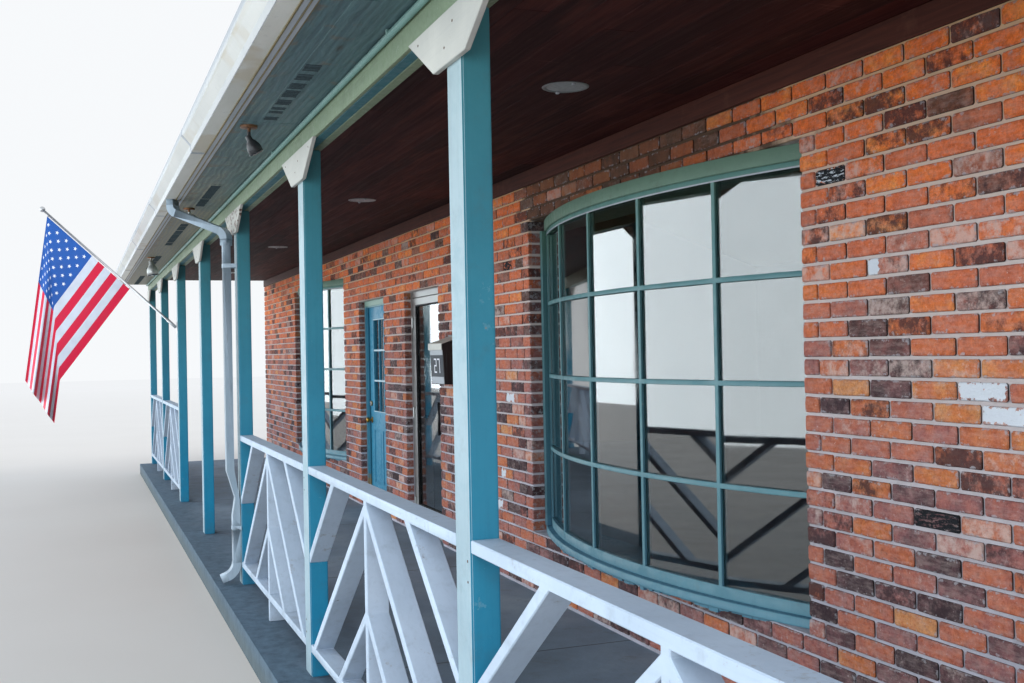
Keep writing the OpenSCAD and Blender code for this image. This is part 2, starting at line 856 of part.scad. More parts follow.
module door_2_glass() {
    w = leaf_w / 2 - stile + glass_lap_2;
    y = face_y + leaf_2_back + leaf_2_t / 2;
    color("lightblue", 0.5)
        box(door_2_x - w, door_2_x + w, y - glass_t / 2, y + glass_t / 2,
            leaf_z0 + low_rail - glass_lap_2, leaf_z1 - top_rail + glass_lap_2);
}

// Bent pull handle outside and a push bar inside.
module door_2_pull() {
    edge = 30;
    x = door_2_x + leaf_w / 2 - edge;
    y0 = face_y + leaf_2_back;
    y1 = y0 + leaf_2_t;
    z = floor_h + 900;
    grip = 250;
    grip_out = 50;
    grip_r = 12;
    bar_z = z + 100;
    bar_out = 45;
    color("dimgray") {
        union() {
            for (k = [0, grip])
                translate([x, y0, z + k]) rotate([90, 0, 0]) cylinder(r = 10, h = grip_out);
            translate([x, y0 - grip_out, z - 10]) cylinder(r = grip_r, h = grip + 20);
        }
        union() {
            for (k = [edge, leaf_w - edge])
                translate([x - leaf_w + edge + k, y1, bar_z]) rotate([-90, 0, 0]) cylinder(r = 9, h = bar_out);
            translate([x - leaf_w + 2 * edge, y1 + bar_out, bar_z])
                rotate([0, 90, 0]) cylinder(r = grip_r, h = leaf_w - 2 * edge);
        }
    }
}

box_w = 335;
box_h = 375;
box_d = 160;
box_x = 821;
box_z = floor_h + 1323;
box_t = 4;
box_slope = 14;
box_front = 70;
box_back = 20;
lid_gap = 5;

lid_side = 6;
lid_axis_y = face_y - 14;
lid_axis_z = box_z + box_h - box_back + lid_gap + 2.5;

// Wall letter box, open under its lid, with a back plate and two ears for the lid's pins.
module mailbox() {
    y0 = face_y - box_d;
    ear = box_w / 2 + lid_side + 1.5;
    color("black")
        union() {
            difference() {
                along_x(box_x - box_w / 2, box_x + box_w / 2, [
                    [face_y, box_z], [y0 + box_slope, box_z],
                    [y0, box_z + box_h - box_front], [face_y, box_z + box_h - box_back]
                ]);
                along_x(box_x - box_w / 2 + box_t, box_x + box_w / 2 - box_t, [
                    [face_y - box_t, box_z + box_t], [y0 + box_slope + box_t, box_z + box_t],
                    [y0 + box_t, box_z + box_h], [face_y - box_t, box_z + box_h]
                ]);
            }
            box(box_x - ear - 6, box_x + ear + 6, face_y - box_t, face_y, box_z - 8, lid_axis_z + 20);
            for (s = [-1, 1])
                difference() {
                    translate([box_x + s * (ear + 3) - 3, lid_axis_y - 7, lid_axis_z - 7])
                        cube([6, face_y - lid_axis_y + 7, 14]);
                    translate([box_x + s * (ear + 3) - 4, lid_axis_y, lid_axis_z])
                        rotate([0, 90, 0]) cylinder(r = 2.6, h = 8);
                }
        }
}

// Sloping lid with a turned-down front edge, rolled at the wall round its hinge pins.
module mailbox_lid() {
    y0 = face_y - box_d - 12;
    z0 = box_z + box_h - box_front + lid_gap;
    z1 = box_z + box_h - box_back + lid_gap;
    turn = 45;
    skin = 4;
    half = box_w / 2 + lid_side;
    color("black")
        union() {
            along_x(box_x - half, box_x + half, [
                [y0, z0 - turn], [y0 + skin, z0 - turn], [y0 + skin, z0], [lid_axis_y, z1],
                [lid_axis_y, z1 + skin + 1], [y0, z0 + skin + 1]
            ]);
            translate([box_x - half, lid_axis_y, lid_axis_z])
                rotate([0, 90, 0]) cylinder(r = 5, h = 2 * half);
            translate([box_x - half - 7, lid_axis_y, lid_axis_z])
                rotate([0, 90, 0]) cylinder(r = 2.2, h = 2 * half + 14);
        }
}

light_r = 105;
light_hole = 97;
light_y = face_y - 715;
light_x = [for (k = [-2 : 1]) 794 + k * 3840];

// Recessed cans with a flat trim ring that bears on the ceiling.
module ceiling_lights() {
    color("silver")
        for (x = light_x)
            translate([x, light_y, ceiling_z])
                rotate_extrude()
                    polygon([
                        [86, -4], [101, -4], [light_r, -2], [light_r, 0], [90, 0],
                        [74, 62], [0, 62], [0, 60], [72, 60]
                    ]);
}

// Flood lamps: place along the front, distance behind the eave, size, and the way each head points.
flood = [
    [3712, 72, 0.58, [-31, 0, 0]],
    [521, 84, 0.52, [-20, -62, 0]],
    [-3788, 72, 1, [-8, 0, 0]]
];

// Lamp heads on swivels under the soffit.
module flood_lights() {
    base_h = 14;
    neck = 60;
    color("gray")
        for (lamp = flood)
            translate([lamp[0], eave_y + lamp[1], soffit_z]) {
                translate([0, 0, -base_h]) cylinder(r = 42, h = base_h);
                translate([0, 0, -neck]) cylinder(r = 9, h = neck - 4);
                translate([0, 0, -neck])
                    rotate(lamp[3])
                        scale(lamp[2])
                            rotate([180, 0, 0])
                                rotate_extrude()
                                    polygon([
                                        [0, -24], [22, -24], [24, 30], [34, 48], [58, 92], [62, 108],
                                        [61, 128], [52, 136], [0, 140]
                                    ]);
            }
}

// Painted conduit in the corner of soffit and beam, held by a clip in each bay.
module conduit() {
    r = 13;
    y = beam_y - r - 2;
    clip_x = 600;
    clip_w = 20;
    color("cadetblue")
        union() {
            translate([-half_x, y, soffit_z - r - 2])
                rotate([0, 90, 0])
                    cylinder(r = r, h = len_x);
            for (i = [0 : bays - 1])
                box(post_x(i) - clip_x - clip_w, post_x(i) - clip_x, y - r - 2, beam_y, soffit_z - r - 6, soffit_z);
        }
}

pole_x = post_x(5);
pole_z = floor_h + 1900;
pole_l = 1829;
pole_r = 12.5;
pole_tilt = 43.3;
hoist_0 = 632;
hoist_1 = 1746;
clip_out = 22;

// Staff in a socket on a plate on the front of a post, with two clips for the cloth.
module flag_pole() {
    color("silver")
        translate([pole_x, post_y, pole_z])
            union() {
                translate([-30, -8, -60]) cube([60, 8, 120]);
                translate([0, -14, 0]) rotate([90 - pole_tilt, 0, 0]) {
                    cylinder(r = 17, h = 120);
                    cylinder(r = pole_r, h = pole_l);
                    translate([0, 0, pole_l]) sphere(r = 30);
                    for (l = [hoist_0 + 4, hoist_1 - 14])
                        translate([-5, -clip_out, l]) cube([10, clip_out - 5, 10]);
                }
            }
}

flag_t = 12;
flag_folds = 2.5;
flag_wave = 75;
flag_rows = 8;
flag_cols = 20;
fly_high = [-1538, -533];
fly_low = [-1351, -958];
function on_staff(l) = [
    -14 - l * cos(pole_tilt) - clip_out * sin(pole_tilt), l * sin(pole_tilt) - clip_out * cos(pole_tilt)
];
function flag_point(u, v, side) =
    let (
        a = on_staff(hoist_1 + (hoist_0 - hoist_1) * u),
        b = fly_high + (fly_low - fly_high) * u,
        p = a + (b - a) * v
    )
    [flag_wave * pow(v, 1.3) * sin(360 * flag_folds * u + 40) + side * flag_t / 2, p[0], p[1]];

// Cloth hanging from the staff, gathered in folds towards its fly end.
module flag() {
    n = flag_cols + 1;
    m = (flag_rows + 1) * n;
    sheet = [
        for (side = [-1, 1], j = [0 : flag_rows], i = [0 : flag_cols])
            flag_point(i / flag_cols, j / flag_rows, side)
    ];
    cells = [
        for (j = [0 : flag_rows - 1], i = [0 : flag_cols - 1])
            each [
                [j * n + i, j * n + i + 1, (j + 1) * n + i + 1],
                [j * n + i, (j + 1) * n + i + 1, (j + 1) * n + i],
                [m + j * n + i, m + (j + 1) * n + i + 1, m + j * n + i + 1],
                [m + j * n + i, m + (j + 1) * n + i, m + (j + 1) * n + i + 1]
            ]
    ];
    ends = [
        for (i = [0 : flag_cols - 1])
            each [
                [i, m + i, m + i + 1], [i, m + i + 1, i + 1],
                [m - n + i, 2 * m - n + i + 1, 2 * m - n + i], [m - n + i, m - n + i + 1, 2 * m - n + i + 1]
            ]
    ];
    sides = [
        for (j = [0 : flag_rows - 1])
            each [
                [j * n, m + (j + 1) * n, m + j * n], [j * n, (j + 1) * n, m + (j + 1) * n],
                [j * n + n - 1, m + j * n + n - 1, m + (j + 1) * n + n - 1],
                [j * n + n - 1, m + (j + 1) * n + n - 1, (j + 1) * n + n - 1]
            ]
    ];
    color("crimson")
        translate([pole_x, post_y, pole_z])
            polyhedron(points = sheet, faces = concat(cells, ends, sides));
}

module side_wall_far() side_wall(-half_x);
module side_wall_near() side_wall(half_x - wall_t);
module railing_1() railing(0);
module railing_2() railing(1);
module railing_3() railing(2);
module railing_4() railing(5);
module railing_5() railing(6);
module window_1_frame() bow_frame(bow_1_x);
module window_2_frame() bow_frame(bow_2_x);

floor_slab();
porch_slab();
front_walls();
window_aprons();
door_headers();
front_wall_top();
side_wall_far();
side_wall_near();
back_wall();
roof_front();
roof_rear();
porch_ceiling();
ceiling_trim();
porch_beam();
beam_boards();
posts();
post_gussets();
soffits();
fascias();
gutters();
downspout();
porch_gables();
railing_1();
railing_2();
railing_3();
railing_4();
railing_5();
window_1_frame();
window_2_frame();
window_glass();
window_seats();
window_heads();
rear_window_frames();
rear_window_glass();
door_1_frame();
door_2_frame();
door_1_leaf();
door_1_glass();
door_1_knobs();
door_2_leaf();
door_2_glass();
door_2_pull();
mailbox();
mailbox_lid();
ceiling_lights();
flood_lights();
conduit();
flag_pole();
flag();
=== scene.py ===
"""Looks of a brick shop building with a covered porch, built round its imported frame.

Metres, +Z up. The street front faces -Y and the porch runs along X.
"""

import sys

import json
import random
from math import asin, atan, ceil, cos, pi, radians, sin

import bmesh
import bpy
from mathutils import Matrix, Vector
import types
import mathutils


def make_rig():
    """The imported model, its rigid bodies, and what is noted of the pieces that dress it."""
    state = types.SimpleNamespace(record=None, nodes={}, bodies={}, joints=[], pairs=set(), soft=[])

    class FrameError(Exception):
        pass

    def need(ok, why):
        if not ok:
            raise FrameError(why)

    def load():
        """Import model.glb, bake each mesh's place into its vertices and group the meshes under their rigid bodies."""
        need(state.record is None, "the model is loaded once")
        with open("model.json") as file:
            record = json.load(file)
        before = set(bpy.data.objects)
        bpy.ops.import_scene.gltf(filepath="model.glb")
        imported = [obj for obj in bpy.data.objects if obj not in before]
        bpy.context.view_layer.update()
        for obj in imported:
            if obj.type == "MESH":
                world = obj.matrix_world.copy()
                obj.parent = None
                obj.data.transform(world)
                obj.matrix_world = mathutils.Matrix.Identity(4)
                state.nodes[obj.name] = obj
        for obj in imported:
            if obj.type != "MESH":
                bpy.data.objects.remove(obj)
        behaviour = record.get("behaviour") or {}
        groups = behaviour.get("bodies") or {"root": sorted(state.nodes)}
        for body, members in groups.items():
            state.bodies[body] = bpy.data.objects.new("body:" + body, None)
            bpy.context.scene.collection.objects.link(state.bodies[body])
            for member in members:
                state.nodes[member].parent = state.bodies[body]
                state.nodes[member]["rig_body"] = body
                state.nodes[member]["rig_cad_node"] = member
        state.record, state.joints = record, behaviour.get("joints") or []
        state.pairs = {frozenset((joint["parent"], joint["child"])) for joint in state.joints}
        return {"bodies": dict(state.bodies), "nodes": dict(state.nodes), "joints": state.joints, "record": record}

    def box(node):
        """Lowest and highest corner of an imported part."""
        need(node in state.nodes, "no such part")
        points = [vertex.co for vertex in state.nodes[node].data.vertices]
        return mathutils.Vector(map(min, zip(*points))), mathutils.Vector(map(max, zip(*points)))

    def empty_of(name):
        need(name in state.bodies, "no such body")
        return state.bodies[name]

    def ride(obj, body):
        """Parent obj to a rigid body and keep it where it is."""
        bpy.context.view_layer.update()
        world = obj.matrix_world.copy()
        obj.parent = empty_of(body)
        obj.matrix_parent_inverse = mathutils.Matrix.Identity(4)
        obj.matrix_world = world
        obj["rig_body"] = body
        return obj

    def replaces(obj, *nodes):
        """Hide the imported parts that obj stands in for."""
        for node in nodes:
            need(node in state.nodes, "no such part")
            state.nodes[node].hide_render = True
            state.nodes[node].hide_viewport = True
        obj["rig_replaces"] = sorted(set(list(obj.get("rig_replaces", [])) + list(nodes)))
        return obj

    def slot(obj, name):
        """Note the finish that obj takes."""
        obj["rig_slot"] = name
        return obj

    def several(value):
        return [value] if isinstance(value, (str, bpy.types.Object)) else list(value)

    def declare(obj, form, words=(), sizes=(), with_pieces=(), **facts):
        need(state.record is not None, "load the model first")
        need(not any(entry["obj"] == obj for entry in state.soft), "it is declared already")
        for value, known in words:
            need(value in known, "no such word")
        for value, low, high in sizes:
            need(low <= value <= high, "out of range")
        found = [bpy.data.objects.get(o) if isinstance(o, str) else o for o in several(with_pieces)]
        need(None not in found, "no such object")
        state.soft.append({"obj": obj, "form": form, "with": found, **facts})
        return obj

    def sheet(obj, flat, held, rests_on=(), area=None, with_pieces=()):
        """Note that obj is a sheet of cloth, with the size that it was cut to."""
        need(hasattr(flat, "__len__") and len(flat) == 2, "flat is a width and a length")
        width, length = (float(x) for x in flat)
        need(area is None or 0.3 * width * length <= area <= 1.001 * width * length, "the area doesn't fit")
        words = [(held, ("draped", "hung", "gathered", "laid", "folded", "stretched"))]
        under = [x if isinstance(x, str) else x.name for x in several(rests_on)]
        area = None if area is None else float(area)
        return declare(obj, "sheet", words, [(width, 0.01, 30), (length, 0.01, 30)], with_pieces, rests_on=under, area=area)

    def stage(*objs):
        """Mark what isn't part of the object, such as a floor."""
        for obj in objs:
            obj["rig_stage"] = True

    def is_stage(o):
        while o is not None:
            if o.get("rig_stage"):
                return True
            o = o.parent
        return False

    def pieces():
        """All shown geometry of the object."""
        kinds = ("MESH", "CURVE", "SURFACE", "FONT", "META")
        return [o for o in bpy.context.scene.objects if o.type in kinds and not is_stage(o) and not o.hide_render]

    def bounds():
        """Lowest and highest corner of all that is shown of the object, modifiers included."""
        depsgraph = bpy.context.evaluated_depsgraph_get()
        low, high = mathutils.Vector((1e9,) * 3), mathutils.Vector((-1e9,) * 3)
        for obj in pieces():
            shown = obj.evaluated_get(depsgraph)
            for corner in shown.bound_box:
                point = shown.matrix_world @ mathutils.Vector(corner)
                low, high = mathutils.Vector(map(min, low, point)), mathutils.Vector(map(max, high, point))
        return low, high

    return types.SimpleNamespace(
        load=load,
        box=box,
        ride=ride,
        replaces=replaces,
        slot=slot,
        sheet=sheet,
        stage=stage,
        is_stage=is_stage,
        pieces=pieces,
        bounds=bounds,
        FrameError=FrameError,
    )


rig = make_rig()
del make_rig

bl_info = {
    "name": "Brick shop with porch", "version": (1, 0, 0), "blender": (4, 5, 0),
    "location": "3D View > Sidebar > Shop", "description": "Dresses the frame of a brick shop building",
    "category": "Object",
}
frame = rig.load()
CAD_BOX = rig.bounds()


def low(node):
    """Lowest corner of a frame node."""
    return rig.box(node)[0]


def high(node):
    """Highest corner of a frame node."""
    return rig.box(node)[1]


HALF = high("floor_slab").x
FLOOR = high("floor_slab").z
WALL = low("floor_slab").y
BACK = high("floor_slab").y
POST = low("posts").y
CEILING = low("porch_ceiling").z
POST_W = 0.14
POST_COUNT = 8
BAY = (2 * HALF - POST_W) / (POST_COUNT - 1)
POST_X = [HALF - POST_W / 2 - i * BAY for i in range(POST_COUNT)]
COURSE = 0.075
JOINT = FLOOR + 0.015
WALL_T = 0.25
EAVE_H = 2.675
PITCH = 0.3333
BOW_W = 2.985
BOW_RISE = 0.27
BOWS = (3.882, -4.546)
DOOR_W = 1.028
DOORS = tuple((low(f"door_{k}_frame").x + high(f"door_{k}_frame").x) / 2 for k in (1, 2))
SEAT = JOINT + 5 * COURSE
DOOR_HEAD = JOINT + 28 * COURSE
HEAD = JOINT + 32 * COURSE


def srgb(code):
    """Linear colour of a six-digit hex code."""
    parts = [int(code[i:i + 2], 16) / 255 for i in (0, 2, 4)]
    return [c / 12.92 if c < 0.04045 else ((c + 0.055) / 1.055) ** 2.4 for c in parts]


# Settings a user would change


def size(name, text, default, unit="LENGTH", **more):
    """A float setting with a unit."""
    return bpy.props.FloatProperty(name=name, description=text, default=default, unit=unit, **more)


def colour(name, text, code):
    """A colour setting."""
    return bpy.props.FloatVectorProperty(
        name=name, description=text, default=srgb(code), size=3, subtype="COLOR", min=0, max=1
    )


class ShopSizes(bpy.types.PropertyGroup):
    """Sizes of what is laid on the frame."""

    brick_l: size("Brick length", "One brick with its joint", 0.226)
    head_joint: size("Head joint", "Width of the upright mortar joints", 0.0105)
    bed_joint: size("Bed joint", "Height of the mortar beds", 0.013)
    relief: size("Brick relief", "How far the bricks stand in front of the mortar", 0.0095)
    shingle_w: size("Shingle tab", "Width of one shingle tab", 0.305)
    shingle_h: size("Shingle exposure", "Visible height of one shingle row", 0.143)
    plank: size("Ceiling board", "Width of one ceiling board", 0.138)
    siding: size("Soffit panel", "Length of one soffit panel", 3.12)


class ShopColours(bpy.types.PropertyGroup):
    """Main colours of the building."""

    mortar: colour("Mortar", "Mortar between the bricks", "bfbbc4")
    post: colour("Posts", "Teal paint of posts and painted door", "3f899f")
    beam: colour("Beam boards", "Pale green paint of the beam boards", "7d8f73")
    sash: colour("Windows", "Paint of the window frames", "55839b")
    white: colour("White paint", "Railings, post plates and fascias", "b6c5d5")
    ceiling: colour("Ceiling", "Stain of the ceiling boards", "330c0a")
    shingle: colour("Shingles", "Mean colour of the roof shingles", "5b5a59")


class ShopStage(bpy.types.PropertyGroup):
    """Camera and light."""

    lens: bpy.props.FloatProperty(name="Lens", description="Focal length", default=40.07, unit="CAMERA")
    eye: bpy.props.FloatVectorProperty(
        name="Eye", description="Camera place", default=(9.26808, -7.27261, 1.71394), subtype="TRANSLATION"
    )
    yaw: size("Yaw", "Turn of the view from -X towards +Y", 0.36666756, "ROTATION")
    tilt: size("Tilt", "Upward tilt of the view", 0.00894389, "ROTATION")
    roll: size("Roll", "Roll of the camera", -0.01925755, "ROTATION")
    sun: bpy.props.FloatProperty(
        name="Key light", description="Strength of the main soft light", default=1.9
    )
    front: bpy.props.FloatProperty(
        name="Front panel", description="Watts of the low light panel in front", default=3450.0
    )
    sky: bpy.props.FloatProperty(name="Sky", description="Strength of the surrounding light", default=0.88)


# Material helpers


class Value:
    """An output socket that takes part in sums, products and comparisons."""

    def __init__(self, wiring, socket):
        self.wiring, self.socket = wiring, socket


def sums(how, turned=False):
    """A method of Value that adds one maths node."""

    def work(self, other=0.0):
        return self.wiring.maths(how, *((other, self) if turned else (self, other)))

    return work


for method, how in (
    ("add", "ADD"), ("sub", "SUBTRACT"), ("mul", "MULTIPLY"), ("lt", "LESS_THAN"), ("gt", "GREATER_THAN"),
    ("abs", "ABSOLUTE"),
):
    setattr(Value, f"__{method}__", sums(how))


Value.__rsub__ = sums("SUBTRACT", True)


class Wiring:
    """Adds linked nodes to a node tree."""

    def __init__(self, tree):
        self.tree = tree

    def node(self, kind, props=None, **inputs):
        """A node; inputs go by name, or as i0, i1 by number."""
        made = self.tree.nodes.new(kind)
        for key, value in (props or {}).items():
            setattr(made, key, value)
        for key, value in inputs.items():
            self.set(made.inputs[int(key[1:]) if key[1:].isdigit() else key.replace("_", " ")], value)
        return made

    def out(self, output, kind, props=None, **inputs):
        """One output of a new node."""
        return Value(self, self.node(kind, props, **inputs).outputs[output])

    def set(self, socket, value):
        value = value.socket if isinstance(value, Value) else value
        if isinstance(value, bpy.types.NodeSocket):
            self.tree.links.new(value, socket)
        else:
            socket.default_value = (*value, 1) if socket.type == "RGBA" and len(value) == 3 else value

    def maths(self, how, a, b=0.0, clamp=False):
        """A sum, product or comparison of two numbers."""
        return self.out(0, "ShaderNodeMath", {"operation": how, "use_clamp": clamp}, i0=a, i1=b)

    def vector(self, how, a, b):
        made = self.node("ShaderNodeVectorMath", {"operation": how}, i0=a, i1=b)
        return Value(self, made.outputs["Value" if how == "LENGTH" else "Vector"])

    def seen(self):
        """One for rays that the camera sees directly, mirrored or through glass."""
        rays = self.node("ShaderNodeLightPath").outputs
        mirrored = self.maths("MAXIMUM", rays["Is Glossy Ray"], rays["Is Transmission Ray"])
        return self.maths("MAXIMUM", rays["Is Camera Ray"], mirrored)


class Finish(Wiring):
    """One procedural material, wired from noises, ramps and mixes."""

    def __init__(self, name):
        self.material = bpy.data.materials.new(name)
        self.material.use_nodes = True
        super().__init__(self.material.node_tree)
        self.shader = self.tree.nodes["Principled BSDF"]
        self.place = self.tree.nodes.new("ShaderNodeTexCoord").outputs["Object"]

    def stretch(self, scale, place=None):
        return self.out(0, "ShaderNodeMapping", Vector=place or self.place, Scale=scale)

    def axis(self, letter, place=None):
        return self.out(letter, "ShaderNodeSeparateXYZ", Vector=place or self.place)

    def facing(self, letter):
        """One share of the direction that a face looks in."""
        return self.axis(letter, self.node("ShaderNodeNewGeometry").outputs["Normal"])

    def noise(self, scale, detail=4.0, rough=0.55, place=None, distort=0.0):
        return self.out(
            "Fac", "ShaderNodeTexNoise", Vector=place or self.place, Scale=scale, Detail=detail,
            Roughness=rough, Distortion=distort,
        )

    def cells(self, scale, place=None):
        return self.out("Distance", "ShaderNodeTexVoronoi", Vector=place or self.place, Scale=scale)

    def bands(self, direction, place, **inputs):
        props = {"wave_type": "BANDS", "bands_direction": direction}
        return self.out("Fac", "ShaderNodeTexWave", props, Vector=place, **inputs)

    def step(self, value, start, end, low=0.0, high=1.0):
        return self.out(0, "ShaderNodeMapRange", i0=value, i1=start, i2=end, i3=low, i4=high)

    def sway(self, value, reach):
        """The value's middle range spread from -reach to reach."""
        return self.step(value, 0.3, 0.7, -reach, reach)

    def read(self, name, output="Fac"):
        return self.out(output, "ShaderNodeAttribute", {"attribute_name": name})

    def ramp(self, value, stops):
        made = self.node("ShaderNodeValToRGB", Fac=value)
        points = made.color_ramp.elements
        while len(points) < len(stops):
            points.new(0.5)
        for point, (at, tint) in zip(points, stops):
            point.position = at
            point.color = *(srgb(tint) if isinstance(tint, str) else tint), 1
        return made.outputs["Color"]

    def mix(self, share, a, b, how="MIX"):
        made = self.node("ShaderNodeMix", {"data_type": "RGBA", "blend_type": how})
        for index, value in ((0, share), (6, a), (7, b)):
            self.set(made.inputs[index], srgb(value) if isinstance(value, str) else value)
        return made.outputs[2]

    def dim(self, tint, *share):
        """A colour times a share of red, green and blue."""
        return self.mix(1.0, tint, share, "MULTIPLY")

    def coat(self, tint, over, value, start, end, most=1.0):
        """A colour covered by another where a value goes from start to end."""
        return self.mix(self.step(value, start, end, 0, most), tint, over)

    def pair(self, value, a, b):
        """Two colours mottled by the middle range of a value."""
        return self.coat(a, b, value, 0.3, 0.7)

    def bump(self, height, depth, strength):
        return self.out(0, "ShaderNodeBump", Height=height, Distance=depth, Strength=strength)

    def done(self, tint, rough=0.6, normal=None, **fixed):
        self.set(self.shader.inputs["Base Color"], tint)
        self.set(self.shader.inputs["Roughness"], rough)
        if normal:
            self.set(self.shader.inputs["Normal"], normal)
        for key, value in fixed.items():
            self.shader.inputs[key.replace("_", " ")].default_value = value
        return self.material


FINISHES = {}


def finish(name):
    """The material of that name, made once."""
    if name not in FINISHES:
        for table, make in ((PAINTS, painted), (METALS, sheet_metal), (PLAINS, plain)):
            if name in table:
                FINISHES[name] = make(name, **table[name])
                return FINISHES[name]
        FINISHES[name] = globals()["make_" + name]()
    return FINISHES[name]


def chosen(name):
    """A colour of the settings, or else of a six-digit code."""
    settings = bpy.context.scene.shop_colours
    return getattr(settings, name)[:] if hasattr(settings, name) else srgb(name)


def over_porch(m):
    """One on the street front."""
    return m.axis("Y") < WALL + 0.02


def make_brick():
    """Fired clay: mottling, lime bloom, burnt ends, soot, splashes of paint and ragged, smeared edges. High on the
    street front the bricks carry painted warm light, and their side faces carry painted shade.
    """
    m = Finish("brick")
    seed = m.read("seed")
    place = m.vector("ADD", m.place, m.out(0, "ShaderNodeCombineXYZ", X=seed * 37.0, Y=seed))
    soft = m.noise(12, 4, 0.6, place)
    mottle = m.noise(44, 6, 0.72, place)
    other = m.vector("ADD", place, (5.0, 3.0, 1.0))
    fine = m.noise(120, 6, 0.75, place)
    tone = m.maths("ADD", m.read("tone"), m.sway(soft, 0.14), True)
    tint = m.ramp(
        tone,
        [
            (0.0, "48373a"), (0.14, "654749"), (0.28, "895c5b"), (0.42, "a2645b"), (0.58, "b16650"),
            (0.74, "bb6947"), (0.88, "c27141"), (1.0, "c98957"),
        ],
    )
    # Painted warm light: high on the street front the bricks turn warmer, as if lit by light thrown down from the
    # stained ceiling.
    tint = m.mix(m.step(m.axis("Z"), 1.5, 2.6) * over_porch(m), tint, m.dim(tint, 1.72, 1.24, 0.62))
    tint = m.coat(tint, m.dim(tint, 0.5, 0.42, 0.44), mottle, 0.46, 0.66, 0.55)
    tint = m.coat(tint, m.dim(tint, 1.3, 1.45, 1.5), mottle, 0.46, 0.32, 0.4)
    tint = m.coat(tint, m.dim(tint, 0.5, 0.42, 0.42), fine, 0.48, 0.62, 0.4)
    patch = m.noise(19, 8, 0.74, place) + m.step(m.read("lime"), 0, 1, -0.29, 0.1)
    tint = m.coat(tint, "cbb7ae", patch, 0.48, 0.64, 0.62)
    tint = m.coat(tint, "bfaba3", m.noise(1.0, 7, 0.7, m.stretch((14, 14, 55), other)), 0.44, 0.64, 0.24)
    tint = m.coat(tint, "cdbcb4", m.noise(58, 7, 0.74, other), 0.6, 0.7, 0.6)
    dark = m.noise(17, 8, 0.74, other) + m.step(m.read("char"), 0, 1, -0.3, 0.16)
    tint = m.coat(tint, "34262a", dark, 0.46, 0.62, 0.85)
    stained = m.pair(soft, "493427", "6b4a36")
    stained = m.coat(stained, "8a5a3e", tone, 0.5, 1.0, 0.5)
    tint = m.mix(m.read("stain") * 0.94, tint, stained)
    corner = m.read("corner", "Vector")
    across, upright, front = (m.axis(letter, corner) for letter in "XYZ")
    side_gap = (1.0 - abs(across)) * 0.1
    bed_gap = (1.0 - abs(upright)) * 0.026
    rim = m.maths("MINIMUM", side_gap, bed_gap)
    # Darker in a ragged band along the edges of the face.
    worn = rim + m.step(m.noise(40, 6, 0.74, other), 0.32, 0.68, 0.009, -0.009)
    tint = m.coat(tint, m.dim(tint, 0.5, 0.45, 0.47), worn, 0.003, -0.003, 0.45)
    smear = rim + m.step(
        m.noise(31, 7, 0.74, m.vector("ADD", place, (9.0, 2.0, 4.0))), 0.32, 0.68, -0.014, 0.012
    )
    tint = m.coat(tint, "a3a0a4", smear, -0.003, -0.007, 0.7)
    edge = across + m.sway(m.noise(60, 4, 0.6, place), 0.12)
    ragged = m.step(
        m.noise(26, 6, 0.66, place) + m.sway(fine, 0.05) + m.step(rim, 0.0, 0.012, -0.09, 0.06), 0.39, 0.42
    )
    streaks = m.step(m.noise(1.0, 5, 0.7, m.stretch((24, 1, 85), place)), 0.43, 0.48)
    for name, paint in (("white", "ced3da"), ("soot", "16181d")):
        amount = m.read(name)
        side = edge < m.step(amount, 0, 1, -1.3, 1.6)
        cover = side * (ragged if name == "white" else streaks) * (amount > 0.01)
        tint = m.mix(cover, tint, paint)
    # Painted shade: the side faces of each brick turn a near-black brown, as if in the shade of the joints; bricks set
    # back in the reveals get less of it.
    joint_side = m.step(m.read("back"), -0.045, -0.03, 0.25, 0.8)
    tint = m.mix(m.step(front, 0.995, 0.9) * joint_side, tint, "1f1714")
    grit = fine * 0.7 + mottle * 1.1
    return m.done(tint, m.step(fine, 0.3, 0.7, 0.74, 0.95), m.bump(grit, 0.006, 1.0), Specular_IOR_Level=0.3)


def make_mortar():
    """Mortar outside, plaster on the faces towards the room. The mortar turns beige upwards and tan high on the street
    front, which is painted warm light, and the dark plaster is painted shade.
    """
    m = Finish("mortar")
    base = chosen("mortar")
    grain = m.noise(260, 6, 0.75)
    cloud = m.noise(5, 5, 0.6)
    tint = m.pair(cloud, m.dim(base, 0.74, 0.74, 0.75), m.dim(base, 1.1, 1.1, 1.11))
    tint = m.coat(tint, (0.16, 0.16, 0.17), grain, 0.35, 0.7, 0.3)
    tint = m.coat(tint, "6a6665", m.noise(18, 7, 0.7), 0.56, 0.7, 0.5)
    # Painted warm light: high on the street front the mortar turns a warm tan.
    high_up = m.step(m.axis("Z"), 2.1, 2.75) * over_porch(m)
    x = m.axis("X") + m.sway(m.noise(6, 4), 0.3)
    over = m.step(x, 2.25, 2.4) * m.step(x, 5.35, 5.05)
    header = over * m.step(m.axis("Z"), 2.5, 2.56)
    # Painted light: the mortar turns beige from 0.7 m upwards and stays bluish grey below.
    tint = m.coat(tint, "cfbdb2", m.axis("Z"), 0.7, 1.9, 0.7)
    tint = m.mix(high_up * 0.9, tint, "deb287")
    tint = m.mix(header * 0.96, tint, "554033")
    inner_x = abs(m.axis("X")) < HALF - WALL_T + 0.004
    inner_y = abs(m.axis("Y")) < BACK - WALL_T + 0.004
    inside = inner_x * inner_y
    # Painted shade: the plaster of the room takes dark tones for the dim light inside.
    plaster = m.pair(m.noise(3, 4), "4d4b49", "5c5955")
    tint = m.mix(inside, tint, plaster)
    height = (grain + m.noise(28, 5, 0.6)) * (1.0 - inside)
    return m.done(tint, 0.93, m.bump(height, 0.005, 0.9), Specular_IOR_Level=0.25)


